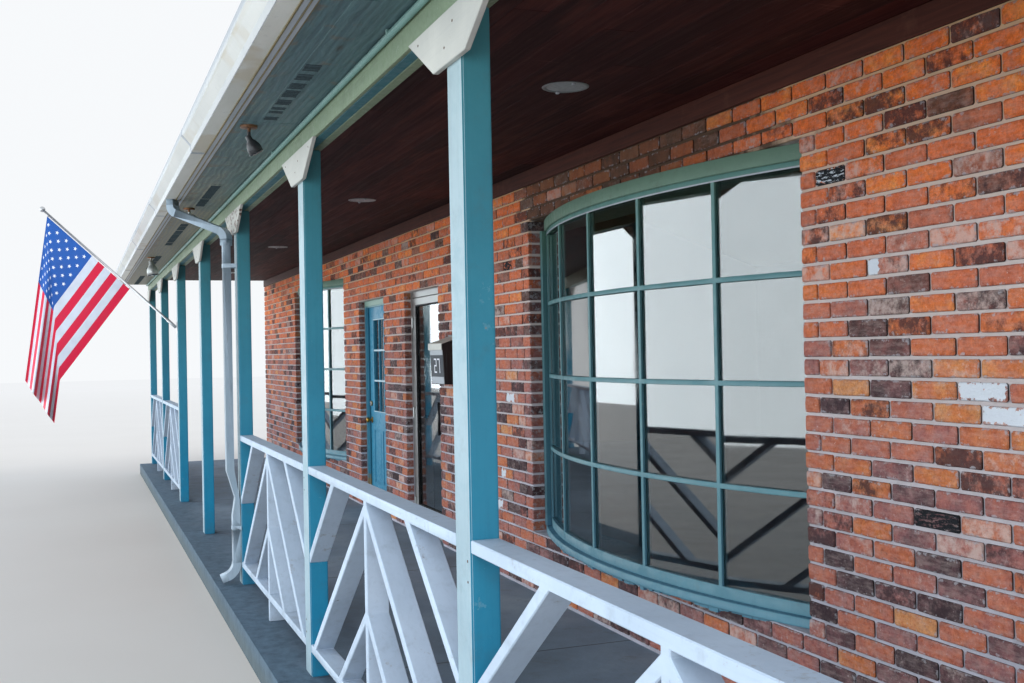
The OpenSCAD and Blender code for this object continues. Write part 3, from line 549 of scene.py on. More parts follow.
def make_concrete():
    """Broomed slab with control joints and stains; its outer edge is darker and blue-green, which is painted shade."""
    m = Finish("concrete")
    cloud = m.noise(1.3, 7, 0.62)
    grain = m.noise(190, 6, 0.7)
    tint = m.ramp(cloud, [(0.28, "5b6b78"), (0.5, "768798"), (0.72, "91a0ac")])
    tint = m.mix(m.step(grain, 0.35, 0.75, 0.3, 0), tint, "55585a")
    tint = m.coat(tint, "5d5f5f", m.noise(7, 6, 0.7), 0.56, 0.7, 0.5)
    joint = m.maths("PINGPONG", m.axis("X") - 3.745, BAY / 2)
    line = m.step(joint, 0.007, 0.003) * (m.axis("Y") < WALL)
    tint = m.mix(line, tint, "2c2d2d")
    # Painted shade: the strip outside the posts, fading out just inside them, turns darker and blue-green.
    damp = m.axis("Y") + m.sway(m.noise(5, 6, 0.7), 0.12)
    damp = m.step(damp, POST + 0.45, POST - 0.02) * (m.axis("Y") < WALL)
    tint = m.mix(damp * 0.92, tint, m.coat("334858", "506778", m.noise(14, 7, 0.72), 0.35, 0.65))
    side = m.step(m.axis("Z"), 0.145, 0.05, 0, 0.5)
    tint = m.mix(side, tint, "4f544c")
    height = grain * 0.4 + m.noise(30, 5) - line * 3.0
    return m.done(tint, m.step(cloud, 0.3, 0.7, 0.7, 0.9), m.bump(height, 0.003, 0.6))


def make_shingle():
    """Mineral grit, with damp patches that run over many tabs."""
    m = Finish("shingle")
    base = chosen("shingle")
    shade = m.read("shade")
    grit = m.noise(420, 4, 0.8)
    tint = m.mix(shade, m.dim(base, 0.62, 0.62, 0.64), m.dim(base, 1.35, 1.32, 1.28))
    tint = m.coat(tint, "a3a09b", grit, 0.45, 0.72, 0.7)
    tint = m.coat(tint, "3a3c38", m.noise(0.9, 5, 0.6), 0.5, 0.75, 0.45)
    return m.done(tint, 0.92, m.bump(grit, 0.002, 0.8))


def wood_grain(m, along, scale=1.0):
    """Long fibres: noise squeezed along the board."""
    squeeze = {"X": (1.6, 46, 46), "Y": (46, 1.6, 46), "Z": (46, 46, 1.6)}[along]
    place = m.stretch([c * scale for c in squeeze])
    return m.noise(1.0, 6, 0.62, place, 0.6)


def painted(
    name, tint, worn, chips, along="X", bare="8a8177", grime=0.25, rough=0.5, faded=None, fade=0.0,
    heights=None,
):
    """Brushed paint on timber with grain, chips and grime. Faces towards the street turn paler and the tint can shift
    with height; both are painted light.
    """
    m = Finish(name)
    tint = chosen(tint)
    shade = m.read("shade")
    grain = wood_grain(m, along)
    cloud = m.noise(3.2, 6, 0.62)
    # Painted light: the tint can shift with height, as the ramp of each paint gives.
    if heights:
        tint = m.mix(1.0, tint, m.ramp(m.step(m.axis("Z"), 0.4, 2.6), heights), "MULTIPLY")
    # Painted light: faces towards the street turn paler, as if lit from the open side.
    if faded:
        street = m.facing("Y") * -1.0
        street = street + m.sway(m.noise(5, 6, 0.6), 0.15)
        tint = m.coat(tint, faded, street, 0.3, 0.8, fade)
    base = m.pair(cloud, m.dim(tint, 0.86, 0.87, 0.88), m.dim(tint, 1.06, 1.05, 1.04))
    base = m.coat(base, m.dim(tint, 0.6, 0.6, 0.6), grain, 0.5, 0.75, 0.22)
    base = m.mix(m.step(shade, 0, 1, 0.1, 0), base, (0.05, 0.05, 0.05))
    rub = m.noise(26, 9, 0.72) + m.step(m.noise(2.4, 3), 0.35, 0.65, -0.1, 0.08)
    base = m.coat(base, worn, rub, 0.68 - 0.1 * chips, 0.7 - 0.1 * chips, chips * 2)
    base = m.coat(base, bare, rub, 0.76 - 0.12 * chips, 0.77 - 0.12 * chips, 0.9)
    dirt = m.noise(11, 8, 0.7) + m.step(m.axis("Z"), FLOOR + 0.35, FLOOR, 0, 0.16)
    base = m.coat(base, "4f4b42", dirt, 0.55, 0.8, grime)
    height = grain * 0.7 - m.step(rub, 0.66, 0.72) * 0.5
    return m.done(
        base, m.step(rub, 0.45, 0.75, rough, 0.85), m.bump(height, 0.0016, 0.55), Specular_IOR_Level=0.4
    )


PAINTS = {
    # Painted light on the posts: deep blue-teal low down, warmer high up, and paler on the street side.
    "post_paint": dict(
        tint="post", along="Z", chips=0.1, worn="8fb4c0", faded="acbabe", fade=0.74,
        heights=[(0.0, (0.14, 0.8, 1)), (0.5, (0.6, 0.92, 0.98)), (1.0, (1, 0.95, 0.8))],
    ),
    "white_rail": dict(tint="white", chips=0.4, grime=0.3, worn="a4aab3", bare="7d8085"),
    "white_trim": dict(tint="white", chips=0.2, grime=0.3, worn="b7bbbf"),
    "beam_paint": dict(tint="beam", chips=0.15, grime=0.35, worn="c2cdc3"),
    "core_paint": dict(tint="38727a", chips=0.1, grime=0.5, worn="527a7e"),
    # Painted light on the window paint: light and bluish at the seat, darker in between, warm at the head, and paler
    # on the street side.
    "sash_paint": dict(
        tint="sash", along="Z", chips=0.08, worn="86a7a4", rough=0.38, faded="6b989c", fade=0.4,
        heights=[
            (0.0, (1, 1.15, 1.3)), (0.12, (0.66, 0.74, 0.7)), (0.5, (0.62, 0.7, 0.58)),
            (0.82, (0.64, 0.7, 0.5)), (1.0, (1.5, 1.2, 0.55)),
        ],
    ),
    "head_paint": dict(tint="6e8b78", chips=0.2, grime=0.45, worn="93a797"),
    "door_paint": dict(tint="3488a8", along="Z", chips=0.06, grime=0.15, worn="7fb0c0", rough=0.36),
    "conduit_paint": dict(tint="7ba19a", chips=0.25, worn="a5bdb4", bare="8d9a90", rough=0.4),
}


def make_stained_boards():
    """Dark red-brown stain, worn matt, with soft lighter blotches and a few pale scuffs."""
    m = Finish("stained_boards")
    base = chosen("ceiling")
    grain = wood_grain(m, "X")
    shade = m.read("shade")
    tint = m.mix(shade, m.dim(base, 0.6, 0.55, 0.55), m.dim(base, 1.45, 1.25, 1.2))
    tint = m.coat(tint, (0.009, 0.004, 0.004), grain, 0.45, 0.75, 0.5)
    blotch = m.noise(1.0, 6, 0.62, m.stretch((1.3, 9, 9))) + m.step(shade, 0, 1, -0.05, 0.05)
    tint = m.coat(tint, "572a22", blotch, 0.5, 0.68, 0.6)
    gouge = m.noise(1.0, 8, 0.7, m.stretch((55, 3.0, 30))) + m.step(m.noise(2.3, 3), 0.35, 0.65, -0.1, 0.04)
    tint = m.coat(tint, "7c5a50", gouge, 0.62, 0.72, 0.35)
    scuff = m.noise(1.0, 8, 0.7, m.stretch((3.5, 60, 60))) + m.step(m.noise(1.7, 3), 0.35, 0.65, -0.08, 0.05)
    tint = m.coat(tint, "8a6e64", scuff, 0.64, 0.76, 0.3)
    return m.done(
        tint, m.step(grain, 0.3, 0.7, 0.62, 0.8), m.bump(grain, 0.0012, 0.5), Specular_IOR_Level=0.2
    )


def make_trim_brown():
    """Brown stain, rubbed lighter in places."""
    m = Finish("trim_brown")
    grain = wood_grain(m, "X")
    tint = m.coat("54281c", "371811", grain, 0.35, 0.7)
    tint = m.coat(tint, "6d4636", m.noise(5, 6, 0.7), 0.58, 0.72, 0.35)
    return m.done(tint, 0.65, m.bump(grain, 0.0012, 0.5), Specular_IOR_Level=0.25)


def make_soffit_ply():
    """Green-grey plywood with bold grain, knots, grime and rust streaks."""
    m = Finish("soffit_ply")
    shade = m.read("shade")
    band = m.bands(
        "Y", m.stretch((0.35, 1, 1)), Scale=9.0, Distortion=7.0, Detail=4.0, Detail_Scale=1.1,
        Detail_Roughness=0.65,
    )
    fibre = wood_grain(m, "X", 1.4)
    tint = m.ramp((band + fibre) * 0.5, [(0.22, "4c5b57"), (0.5, "6f827a"), (0.78, "8c9d96")])
    tint = m.mix(m.step(shade, 0, 1, 0.3, 0), tint, "333c38")
    tint = m.coat(tint, "2d2f2b", m.noise(6, 7, 0.7), 0.55, 0.75, 0.55)
    along = m.axis("X") + m.sway(m.noise(1.6, 5, 0.62, m.stretch((1, 3, 1))), 1.5)
    fresh = m.pair(fibre, "355058", "54767c")
    tint = m.coat(tint, fresh, along, 1.6, 4.6, 0.85)
    tint = m.coat(tint, m.coat("6c6656", "978e78", band, 0.2, 0.8), along, 2.2, 0.2, 0.75)
    knots = m.cells(2.6, m.stretch((0.7, 2.2, 1)))
    tint = m.coat(tint, "3a2f26", knots, 0.1, 0.03, 0.7)
    rust = m.noise(9, 6, 0.6) + m.step(m.axis("Y"), -6.47, -6.54, 0, 0.14)
    tint = m.coat(tint, "7b5a3b", rust, 0.62, 0.74, 0.5)
    return m.done(tint, m.step(band, 0.2, 0.8, 0.45, 0.7), m.bump(band + fibre, 0.0012, 0.6))


def sheet_metal(name, light, dark, metallic=0.0, rough=0.4, dirt="6d6a62", amount=0.4, stretch=(1, 1, 1)):
    """Thin painted or plain metal with faint dents and dirt."""
    m = Finish(name)
    cloud = m.noise(2.4, 6, 0.6, m.stretch(stretch))
    tint = m.pair(cloud, dark, light)
    tint = m.coat(tint, dirt, m.noise(14, 8, 0.72, m.stretch(stretch)), 0.55, 0.78, amount)
    tint = m.coat(tint, dirt, m.noise(240, 3, 0.7), 0.68, 0.74, amount * 0.6)
    return m.done(
        tint, m.step(cloud, 0.3, 0.7, rough, rough + 0.2), m.bump(m.noise(5, 3), 0.003, 0.25),
        Metallic=metallic,
    )


METALS = {
    "gutter_metal": dict(light="b4b9be", dark="9ba1a8", stretch=(0.4, 3, 3)),
    "spout_metal": dict(light="a3b2be", dark="8797a3", rough=0.38, dirt="57544b", stretch=(3, 3, 0.6)),
    "aluminium": dict(light="b9bbba", dark="9d9f9e", metallic=0.9, rough=0.32, dirt="6b6c6b", amount=0.25),
    "black_metal": dict(light="1b1d20", dark="101113", metallic=0.2, rough=0.3, dirt="4c4d50", amount=0.3),
    "lamp_metal": dict(light="bfc2c1", dark="8f9391", metallic=0.7, rough=0.35, dirt="6a5b4a", amount=0.5),
    "rusty": dict(light="6c4a34", dark="43291d", metallic=0.3, rough=0.7, dirt="241a15", amount=0.7),
    "staff_metal": dict(
        light="d4d6d9", dark="a9acb0", metallic=0.95, rough=0.24, dirt="777777", amount=0.15
    ),
    "brass": dict(light="c79b4b", dark="8f6a2c", metallic=1.0, rough=0.28, dirt="4d3a1c", amount=0.35),
    "edge_metal": dict(
        light="8f7d4e", dark="62552f", metallic=0.5, rough=0.45, dirt="2e2a1c", amount=0.5,
        stretch=(0.6, 6, 6),
    ),
    "slate_metal": dict(light="3d444d", dark="2c3238", metallic=0.1, rough=0.5, dirt="5b6068", amount=0.35),
    # Painted reflection: the letter box lid is black metal, and its pale colour stands for light glancing off it.
    "lid_metal": dict(light="c7c7bf", dark="a2a39d", metallic=0.2, rough=0.35, dirt="4c4a46"),
}


def plain(name, grain, dark, light, rough, start=0.3, depth=0.0, strength=0.4):
    """Two tones of dust or wear."""
    m = Finish(name)
    dust = m.noise(*grain)
    return m.done(
        m.coat(dark, light, dust, start, 0.7), rough, m.bump(dust, depth, strength) if depth else None
    )


PLAINS = {
    # Painted shade: the louvres of the soffit vents are dark, for the shade in the openings behind them.
    "vent_slot": dict(
        grain=(90, 6, 0.7), dark="2d3c42", light="44565b", rough=0.85, start=0.45, depth=0.001, strength=0.5
    ),
    "bar_paint": dict(
        grain=(40, 6, 0.7), dark="a9c6cf", light="c3d6da", rough=0.45, start=0.4, depth=0.0006
    ),
    "rubber": dict(grain=(60, 6, 0.7), dark="121417", light="2a2d30", rough=0.7, start=0.45, depth=0.0006),
    "dark_lens": dict(grain=(80, 3, 0.5), dark="101214", light="22262a", rough=0.18),
    "lens": dict(grain=(60, 3, 0.5), dark="8b8f90", light="a9acac", rough=0.35),
    "star_cloth": dict(
        grain=(700, 3, 0.6), dark="dfe1e8", light="f2f3f6", rough=0.7, depth=0.0004, strength=0.5
    ),
}


def make_gutter_paint():
    """White gutter: grey lip, streaks down its face, a dirty seam and a blue-grey, stained underside; a beige patch on
    the underside is a painted reflection.
    """
    m = Finish("gutter_paint")
    up = m.axis("Z") - low("soffits").z
    down = m.facing("Z") * -1.0
    cloud = m.noise(2.4, 6, 0.6, m.stretch((0.5, 3, 3)))
    tint = m.pair(cloud, "9ea1a2", "b5b7b6")
    streak = m.noise(1.0, 7, 0.7, m.stretch((26, 3, 2)))
    tint = m.coat(tint, "7d858c", streak, 0.54, 0.72, 0.45)
    tint = m.coat(tint, "9299a0", up, 0.091, 0.096, 0.75)
    seam = up + m.sway(streak, 0.002)
    tint = m.mix(m.step(seam, 0.0065, 0.0035) * m.step(down, 0.7, 0.3), tint, "3c4249")
    under = m.coat("d0cfc5", "e2e0d7", m.noise(0.9, 5, 0.6, m.stretch((1, 6, 1))), 0.35, 0.65)
    # Painted reflection: a beige patch on the underside.
    under = m.coat(
        under, "c8bda6", m.noise(1.1, 4, 0.6, m.vector("ADD", m.place, (0.0, 4.0, 0.0))), 0.56, 0.6, 0.8
    )
    under = m.coat(under, "5f646a", m.noise(20, 7, 0.72), 0.6, 0.75, 0.4)
    tint = m.coat(tint, under, down, 0.5, 0.8)
    return m.done(tint, 0.42, m.bump(m.noise(5, 3), 0.003, 0.25))


def make_plate_paint():
    """White plates; the fourth one is eaten through by rust."""
    m = Finish("plate_paint")
    grain = wood_grain(m, "X")
    tint = m.pair(m.noise(4, 6, 0.6), "aeaea8", "bebdb5")
    tint = m.coat(tint, "9a9d9f", grain, 0.5, 0.75, 0.2)
    tint = m.coat(tint, "8b8478", m.noise(13, 8, 0.72), 0.6, 0.75, 0.35)
    near = abs(m.axis("X") - POST_X[3]) < 0.43
    holes = m.cells(26) + m.step(m.noise(12, 5, 0.7), 0.35, 0.65, 0.25, -0.12)
    rust = m.step(holes, 0.42, 0.26) * near
    hole = m.step(holes, 0.24, 0.17) * near
    tint = m.mix(rust, tint, "6b4330")
    tint = m.mix(hole, tint, "150f0d")
    return m.done(tint, 0.6, m.bump(grain * 0.3 - hole, 0.004, 0.8), Specular_IOR_Level=0.35)


def make_frame_paint():
    """Door frame: teal jambs, sage head and bare wood at the foot of the far jamb."""
    m = Finish("frame_paint")
    grain = wood_grain(m, "Z")
    tint = m.pair(m.noise(4, 6, 0.6), "3b7e96", "478ba2")
    tint = m.coat(tint, "84a293", m.axis("Z"), 2.19, 2.215, 1)
    foot = (m.axis("X") < DOORS[0] - 0.44) * m.step(
        m.axis("Z") + m.sway(m.noise(24, 6, 0.7), 0.06), 0.5, 0.44
    )
    tint = m.mix(foot, tint, m.coat("9a8662", "6e5b40", grain, 0.35, 0.7))
    tint = m.coat(tint, "27515f", grain, 0.5, 0.75, 0.2)
    return m.done(tint, 0.45, m.bump(grain, 0.0012, 0.5), Specular_IOR_Level=0.4)


def make_flood_metal():
    """The near lamp is dark and rusty at its base; the others are bare metal."""
    m = Finish("flood_metal")
    cloud = m.noise(30, 6, 0.65)
    bare = m.pair(cloud, "8f9391", "bcbfbd")
    dark = m.pair(cloud, "24252a", "3d3e3f")
    near = m.axis("X") > 2.0
    tint = m.mix(near, bare, dark)
    rust = m.noise(45, 6, 0.7) + m.step(m.axis("Z"), 2.76, 2.82, -0.2, 0.22)
    tint = m.coat(tint, "7a5438", rust, 0.55, 0.66)
    metal = 0.75 - near * 0.5
    made = m.done(tint, m.step(cloud, 0.3, 0.7, 0.3, 0.5), m.bump(cloud, 0.001, 0.4))
    m.set(m.shader.inputs["Metallic"], metal)
    return made


def make_glass():
    m = Finish("glass")
    smear = m.noise(2.2, 5, 0.6)
    return m.done(
        m.pair(smear, "dfe8e9", "ecf2f2"), m.step(smear, 0.35, 0.8, 0.0, 0.05), Transmission_Weight=1.0,
        IOR=1.8,
    )


def make_cloth():
    """Woven cloth; red and white stripes along the fly and a blue canton, by its own UV map."""
    m = Finish("cloth")
    uv = m.out(0, "ShaderNodeUVMap", {"uv_map": "cloth"})
    u, v = m.axis("X", uv), m.axis("Y", uv)
    stripe = m.maths("FRACT", v * 6.5) < 0.5
    canton = (u < CANTON[0]) * (v < CANTON[1])
    tint = m.mix(stripe, "d3d8e2", "d8143e")
    tint = m.mix(canton, tint, "1f58a8")
    tint = m.coat(tint, (0.1, 0.09, 0.1), m.noise(9, 5), 0.4, 0.7, 0.12)
    weave = m.bands("DIAGONAL", uv, Scale=260.0, Distortion=0.4)
    return m.done(tint, 0.72, m.bump(weave, 0.0006, 0.5), Sheen_Weight=0.15)


def make_board_under():
    """Underside and edges of the roof deck."""
    m = Finish("board_under")
    grain = wood_grain(m, "X")
    return m.done(m.coat("8a7358", "6d573f", grain, 0.35, 0.7), 0.75, m.bump(grain, 0.001, 0.4))


def make_pale_floor():
    """Plain pale ground that runs into the background far from the building."""
    m = Finish("pale_floor")
    m.done(
        m.ramp(m.noise(0.6, 3), [(0.3, (0.73, 0.66, 0.59)), (0.7, (0.75, 0.68, 0.61))]), 0.95,
        Specular_IOR_Level=0.1,
    )
    glow = m.out(0, "ShaderNodeEmission", Color=(0.88, 0.9, 0.925), Strength=1.0)
    reach = m.vector("LENGTH", m.place, (0, 0, 0))
    share = m.step(reach, 16.0, 60.0) * m.seen()
    blend = m.out(0, "ShaderNodeMixShader", i0=share, i1=m.shader.outputs[0], i2=glow)
    m.set(m.tree.nodes["Material Output"].inputs["Surface"], blend)
    return m.material


# Mesh helpers
ALONG_X = Matrix(((0, 0, 1, 0), (1, 0, 0, 0), (0, 1, 0, 0), (0, 0, 0, 1)))
ALONG_Y = Matrix(((1, 0, 0, 0), (0, 0, -1, 0), (0, 1, 0, 0), (0, 0, 0, 1)))


def spun(degrees, axis):
    """A turn about an axis."""
    return Matrix.Rotation(radians(degrees), 4, axis)


def skin(n, levels):
    """Faces round a stack of rings of n points."""
    return [
        (k * n + i, k * n + (i + 1) % n, (k + 1) * n + (i + 1) % n, (k + 1) * n + i)
        for k in range(levels - 1) for i in range(n)
    ]


def lids(n, total):
    """First and last ring of a stack as faces."""
    return [tuple(range(n))[::-1], tuple(range(total - n, total))]


BOX_FACES = lids(4, 8) + skin(4, 2)


def cut_corners(outline, c):
    """The outline with each corner cut off."""
    ring = []
    for i, p in enumerate(outline):
        for q in (outline[i - 1], outline[(i + 1) % len(outline)]):
            way = Vector(q) - Vector(p)
            ring.append(Vector(p) + way.normalized() * min(c, way.length * 0.4))
    return ring


def shrink(ring, c):
    """A convex outline moved inwards."""
    made = []
    for i, p in enumerate(ring):
        a = (p - ring[i - 1]).normalized()
        b = (ring[(i + 1) % len(ring)] - p).normalized()
        na, nb = Vector((-a.y, a.x)), Vector((-b.y, b.x))
        made.append(p + (na + nb) * (c / (1 + na.dot(nb))))
    return made


class Solids:
    """Closed solids gathered into one mesh; each has its own shade from 0 to 1."""

    def __init__(self):
        self.points, self.faces, self.shades = [], [], []

    def add(self, points, faces, shade=0.5):
        base = len(self.points)
        self.points += [tuple(p) for p in points]
        self.faces += [tuple(base + i for i in f) for f in faces]
        self.shades += [shade] * len(points)

    def bar(self, outline, start, end, chamfer=0.002, place=Matrix(), shade=0.5):
        """A convex outline drawn out from start to end, with its edges taken off."""
        if chamfer:
            ring = cut_corners(outline, chamfer)
            small = shrink(ring, chamfer * 0.7)
            levels = [(small, start), (ring, start + chamfer), (ring, end - chamfer), (small, end)]
        else:
            ring = [Vector(p) for p in outline]
            levels = [(ring, start), (ring, end)]
        n = len(ring)
        points = [place @ Vector((p.x, p.y, w)) for r, w in levels for p in r]
        self.add(points, lids(n, len(points)) + skin(n, len(levels)), shade)

    def block(self, a, b, chamfer=0.002, shade=0.5):
        """A box between two corners."""
        outline = [(a[0], a[1]), (b[0], a[1]), (b[0], b[1]), (a[0], b[1])]
        self.bar(outline, a[2], b[2], chamfer, shade=shade)

    def lathe(self, profile, place=Matrix(), count=24, shade=0.5, ring=False):
        """A profile of (radius, height) turned about Z, from one pole or rim to the other."""
        points, rows = [], []
        for r, h in profile:
            start = len(points)
            if r < 1e-06:
                points.append((0, 0, h))
                rows.append([start] * count)
            else:
                points += [
                    (r * cos(2 * pi * i / count), r * sin(2 * pi * i / count), h) for i in range(count)
                ]
                rows.append(list(range(start, start + count)))
        faces = []
        pairs = list(zip(rows, rows[1:])) + ([(rows[-1], rows[0])] if ring else [])
        for a, b in pairs:
            for i in range(count):
                j = (i + 1) % count
                face = [a[i], a[j], b[j], b[i]]
                face = [p for k, p in enumerate(face) if p != face[k - 1]]
                if len(face) > 2:
                    faces.append(face)
        self.add([place @ Vector(p) for p in points], faces, shade)

    def tube(self, path, radius, count=12, shade=0.5):
        """A round rod along a line of points."""
        path = [Vector(p) for p in path]
        side = None
        points = []
        for i, p in enumerate(path):
            way = (path[min(i + 1, len(path) - 1)] - path[max(i - 1, 0)]).normalized()
            side = way.orthogonal() if side is None else side - way * side.dot(way)
            side.normalize()
            up = way.cross(side)
            turns = (2 * pi * k / count for k in range(count))
            points += [p + (side * cos(a) + up * sin(a)) * radius for a in turns]
        self.add(points, skin(count, len(path)) + lids(count, len(points)), shade)

    def mesh(self, name):
        made = bpy.data.meshes.new(name)
        made.from_pydata(self.points, [], self.faces)
        store(made, "shade", self.shades)
        made.update()
        return made

    def make(self, name, material, slot, stands_for=(), smooth=None, body="building"):
        """One piece of the scene from all solids."""
        return settle(self.mesh(name), name, body, material, slot, stands_for, smooth)


def store(mesh, name, values, kind="FLOAT"):
    """Gives each point of a mesh its own value."""
    layer = mesh.attributes.new(name, kind, "POINT").data
    if kind == "FLOAT":
        layer.foreach_set("value", values)
    else:
        layer.foreach_set("vector", [c for value in values for c in value])


def put(name, data):
    """An object in the scene with that mesh, lamp or camera."""
    made = bpy.data.objects.new(name, data)
    bpy.context.scene.collection.objects.link(made)
    return made


def settle(mesh, name, body, material, slot, stands_for=(), smooth=None):
    """Puts a finished mesh in the scene on its body, with its material and slot."""
    made = put(name, mesh)
    mesh.materials.clear()
    mesh.materials.append(finish(material))
    if smooth is not None:
        mesh.shade_smooth()
        mesh.set_sharp_from_angle(angle=radians(smooth))
    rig.ride(made, body)
    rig.slot(made, slot)
    if stands_for:
        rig.replaces(made, *stands_for)
    return made


MERGE = 2e-05


def loose_shades(mesh, dice):
    """One shade for each separate solid of a mesh."""
    values = [0.5] * len(mesh.vertices)
    work = bmesh.new()
    work.from_mesh(mesh)
    work.verts.ensure_lookup_table()
    seen = set()
    for v in work.verts:
        if v.index in seen:
            continue
        value, todo = dice.random(), [v]
        seen.add(v.index)
        while todo:
            w = todo.pop()
            values[w.index] = value
            for o in (e.other_vert(w) for e in w.link_edges):
                if o.index not in seen:
                    seen.add(o.index)
                    todo.append(o)
    work.free()
    return values


def copy_node(node, body, material, slot, width=0.0, segments=1, split=False, smooth=None):
    """Replaces a frame node by the same solid, its sharp edges taken off or its round faces shaded smooth."""
    work = bmesh.new()
    work.from_mesh(frame["nodes"][node].data)
    bmesh.ops.remove_doubles(work, verts=work.verts, dist=MERGE)
    if width:
        bmesh.ops.dissolve_limit(work, angle_limit=0.003, verts=work.verts, edges=work.edges)
        edges = [e for e in work.edges if len(e.link_faces) == 2 and e.calc_face_angle(0) > 0.6]
        bmesh.ops.bevel(
            work, geom=edges, offset=width, segments=segments, affect="EDGES", clamp_overlap=True
        )
    mesh = bpy.data.meshes.new(node + "_piece")
    work.to_mesh(mesh)
    work.free()
    if width:
        store(
            mesh, "shade", loose_shades(mesh, random.Random(node)) if split else [0.5] * len(mesh.vertices)
        )
    return settle(mesh, node + "_piece", body, material, slot, (node,), smooth)


def soften(node, width, material, slot, body="building", segments=1, split=False):
    """Replaces a frame node by the same solid with its sharp edges taken off."""
    copy_node(node, body, material, slot, width, segments, split)


def smooth_copy(node, material, slot, angle, body="building"):
    """Replaces a frame node by the same solid, shaded smooth below an angle."""
    copy_node(node, body, material, slot, smooth=angle)


def dress(material, *nodes):
    """Gives frame nodes that stay their material."""
    for node in nodes:
        for slot in frame["nodes"][node].material_slots:
            slot.material = finish(material)


# Geometry Nodes helpers


class Tree(Wiring):
    """A geometry tree with named inputs."""

    def __init__(self, name, sockets):
        super().__init__(bpy.data.node_groups.new(name, "GeometryNodeTree"))
        face = self.tree.interface
        face.new_socket("Geometry", in_out="INPUT", socket_type="NodeSocketGeometry")
        for label, kind, default in sockets:
            made = face.new_socket(label, in_out="INPUT", socket_type="NodeSocket" + kind)
            if default is not None:
                made.default_value = default
        face.new_socket("Geometry", in_out="OUTPUT", socket_type="NodeSocketGeometry")
        self.start = self.tree.nodes.new("NodeGroupInput").outputs
        self.end = self.tree.nodes.new("NodeGroupOutput").inputs[0]

    def named(self, name, kind="FLOAT"):
        return self.out("Attribute", "GeometryNodeInputNamedAttribute", {"data_type": kind}, Name=name)

    def three(self, name):
        """The three parts of a named vector."""
        split = self.node("ShaderNodeSeparateXYZ", Vector=self.named(name, "FLOAT_VECTOR")).outputs
        return [Value(self, split[i]) for i in range(3)]

    def laid(self, label):
        """The object of that input on every point."""
        shape = self.out("Geometry", "GeometryNodeObjectInfo", Object=self.start[label])
        return self.out(0, "GeometryNodeInstanceOnPoints", Points=self.start["Geometry"], Instance=shape)

    def close(self, geometry):
        whole = self.out(0, "GeometryNodeRealizeInstances", Geometry=geometry)
        last = self.out(0, "GeometryNodeSetMaterial", Geometry=whole, Material=self.start["Material"])
        self.set(self.end, last)


def point_mesh(rows, kinds):
    """A mesh of bare points; rows hold "at" and one value for each attribute."""
    made = bpy.data.meshes.new("layout")
    made.from_pydata([r["at"] for r in rows], [], [])
    for name, kind in kinds.items():
        store(made, name, [r.get(name, 0.0) for r in rows], kind)
    return made


def evaluated(thing):
    """The object's mesh with its modifiers carried out, as plain data."""
    graph = bpy.context.evaluated_depsgraph_get()
    return bpy.data.meshes.new_from_object(
        thing.evaluated_get(graph), preserve_all_data_layers=True, depsgraph=graph
    )


def grow(tree, mesh, values):
    """The mesh that a tree makes from a layout, as plain data."""
    seed = put("layout", mesh)
    modifier = seed.modifiers.new("grow", "NODES")
    modifier.node_group = tree.tree
    for item in tree.tree.interface.items_tree:
        if item.item_type == "SOCKET" and item.in_out == "INPUT" and (item.name in values):
            modifier[item.identifier] = values[item.name]
    made = evaluated(seed)
    bpy.data.objects.remove(seed)
    return made


def scatter(label, shape, spots, material, name, slot, smooth=None):
    """One piece from a small solid set on each spot."""
    t = Tree(label, [("Shape", "Object", None), ("Material", "Material", None)])
    t.close(t.laid("Shape"))
    one = put(label, shape.mesh(label))
    mesh = grow(
        t, point_mesh([{"at": spot} for spot in spots], {}), {"Shape": one, "Material": finish(material)}
    )
    settle(mesh, name, "building", material, slot, smooth=smooth)
    bpy.data.objects.remove(one)


# Bricks


def brick_shape(rich):
    """A closed brick about its middle; its corner attribute says which way each point goes when it is sized."""
    cut, round_edge = (0.006, 0.0035)
    if rich:
        cell = [-0.5, 0.0, 0.5]
        around = [(-1, -1, cut, 0)] + [(u, -1, 0, 0) for u in cell]
        around += [(1, -1, -cut, 0), (1, -1, 0, cut), (1, 0, 0, 0)]
        around += [(1, 1, 0, -cut), (1, 1, -cut, 0)] + [(u, 1, 0, 0) for u in cell[::-1]]
        around += [(-1, 1, cut, 0), (-1, 1, 0, -cut), (-1, 0, 0, 0), (-1, -1, 0, cut)]
    else:
        around = [(-1, -1, 0, 0), (1, -1, 0, 0), (1, 1, 0, 0), (-1, 1, 0, 0)]
    points, corners, n = [], [], len(around)
    for top, drop_z, inset in ((0, 0, 0), (1, -round_edge, 0), (1, 0, round_edge)):
        for u, v, du, dv in around:
            in_u = 0 if abs(u) < 1 else -u * inset
            in_v = -v * inset if abs(v) == 1 else 0
            points.append((du + in_u, dv + in_v, drop_z))
            corners.append((u, v, top))
    return unit_mesh("brick_shape", points, corners, lids(n, 3 * n) + skin(n, 3))


def unit_mesh(name, points, corners, faces):
    """An object of a shape that the layout tree sizes by its corners."""
    mesh = bpy.data.meshes.new(name)
    mesh.from_pydata(points, [], faces)
    store(mesh, "corner", corners, "FLOAT_VECTOR")
    return put(name, mesh)


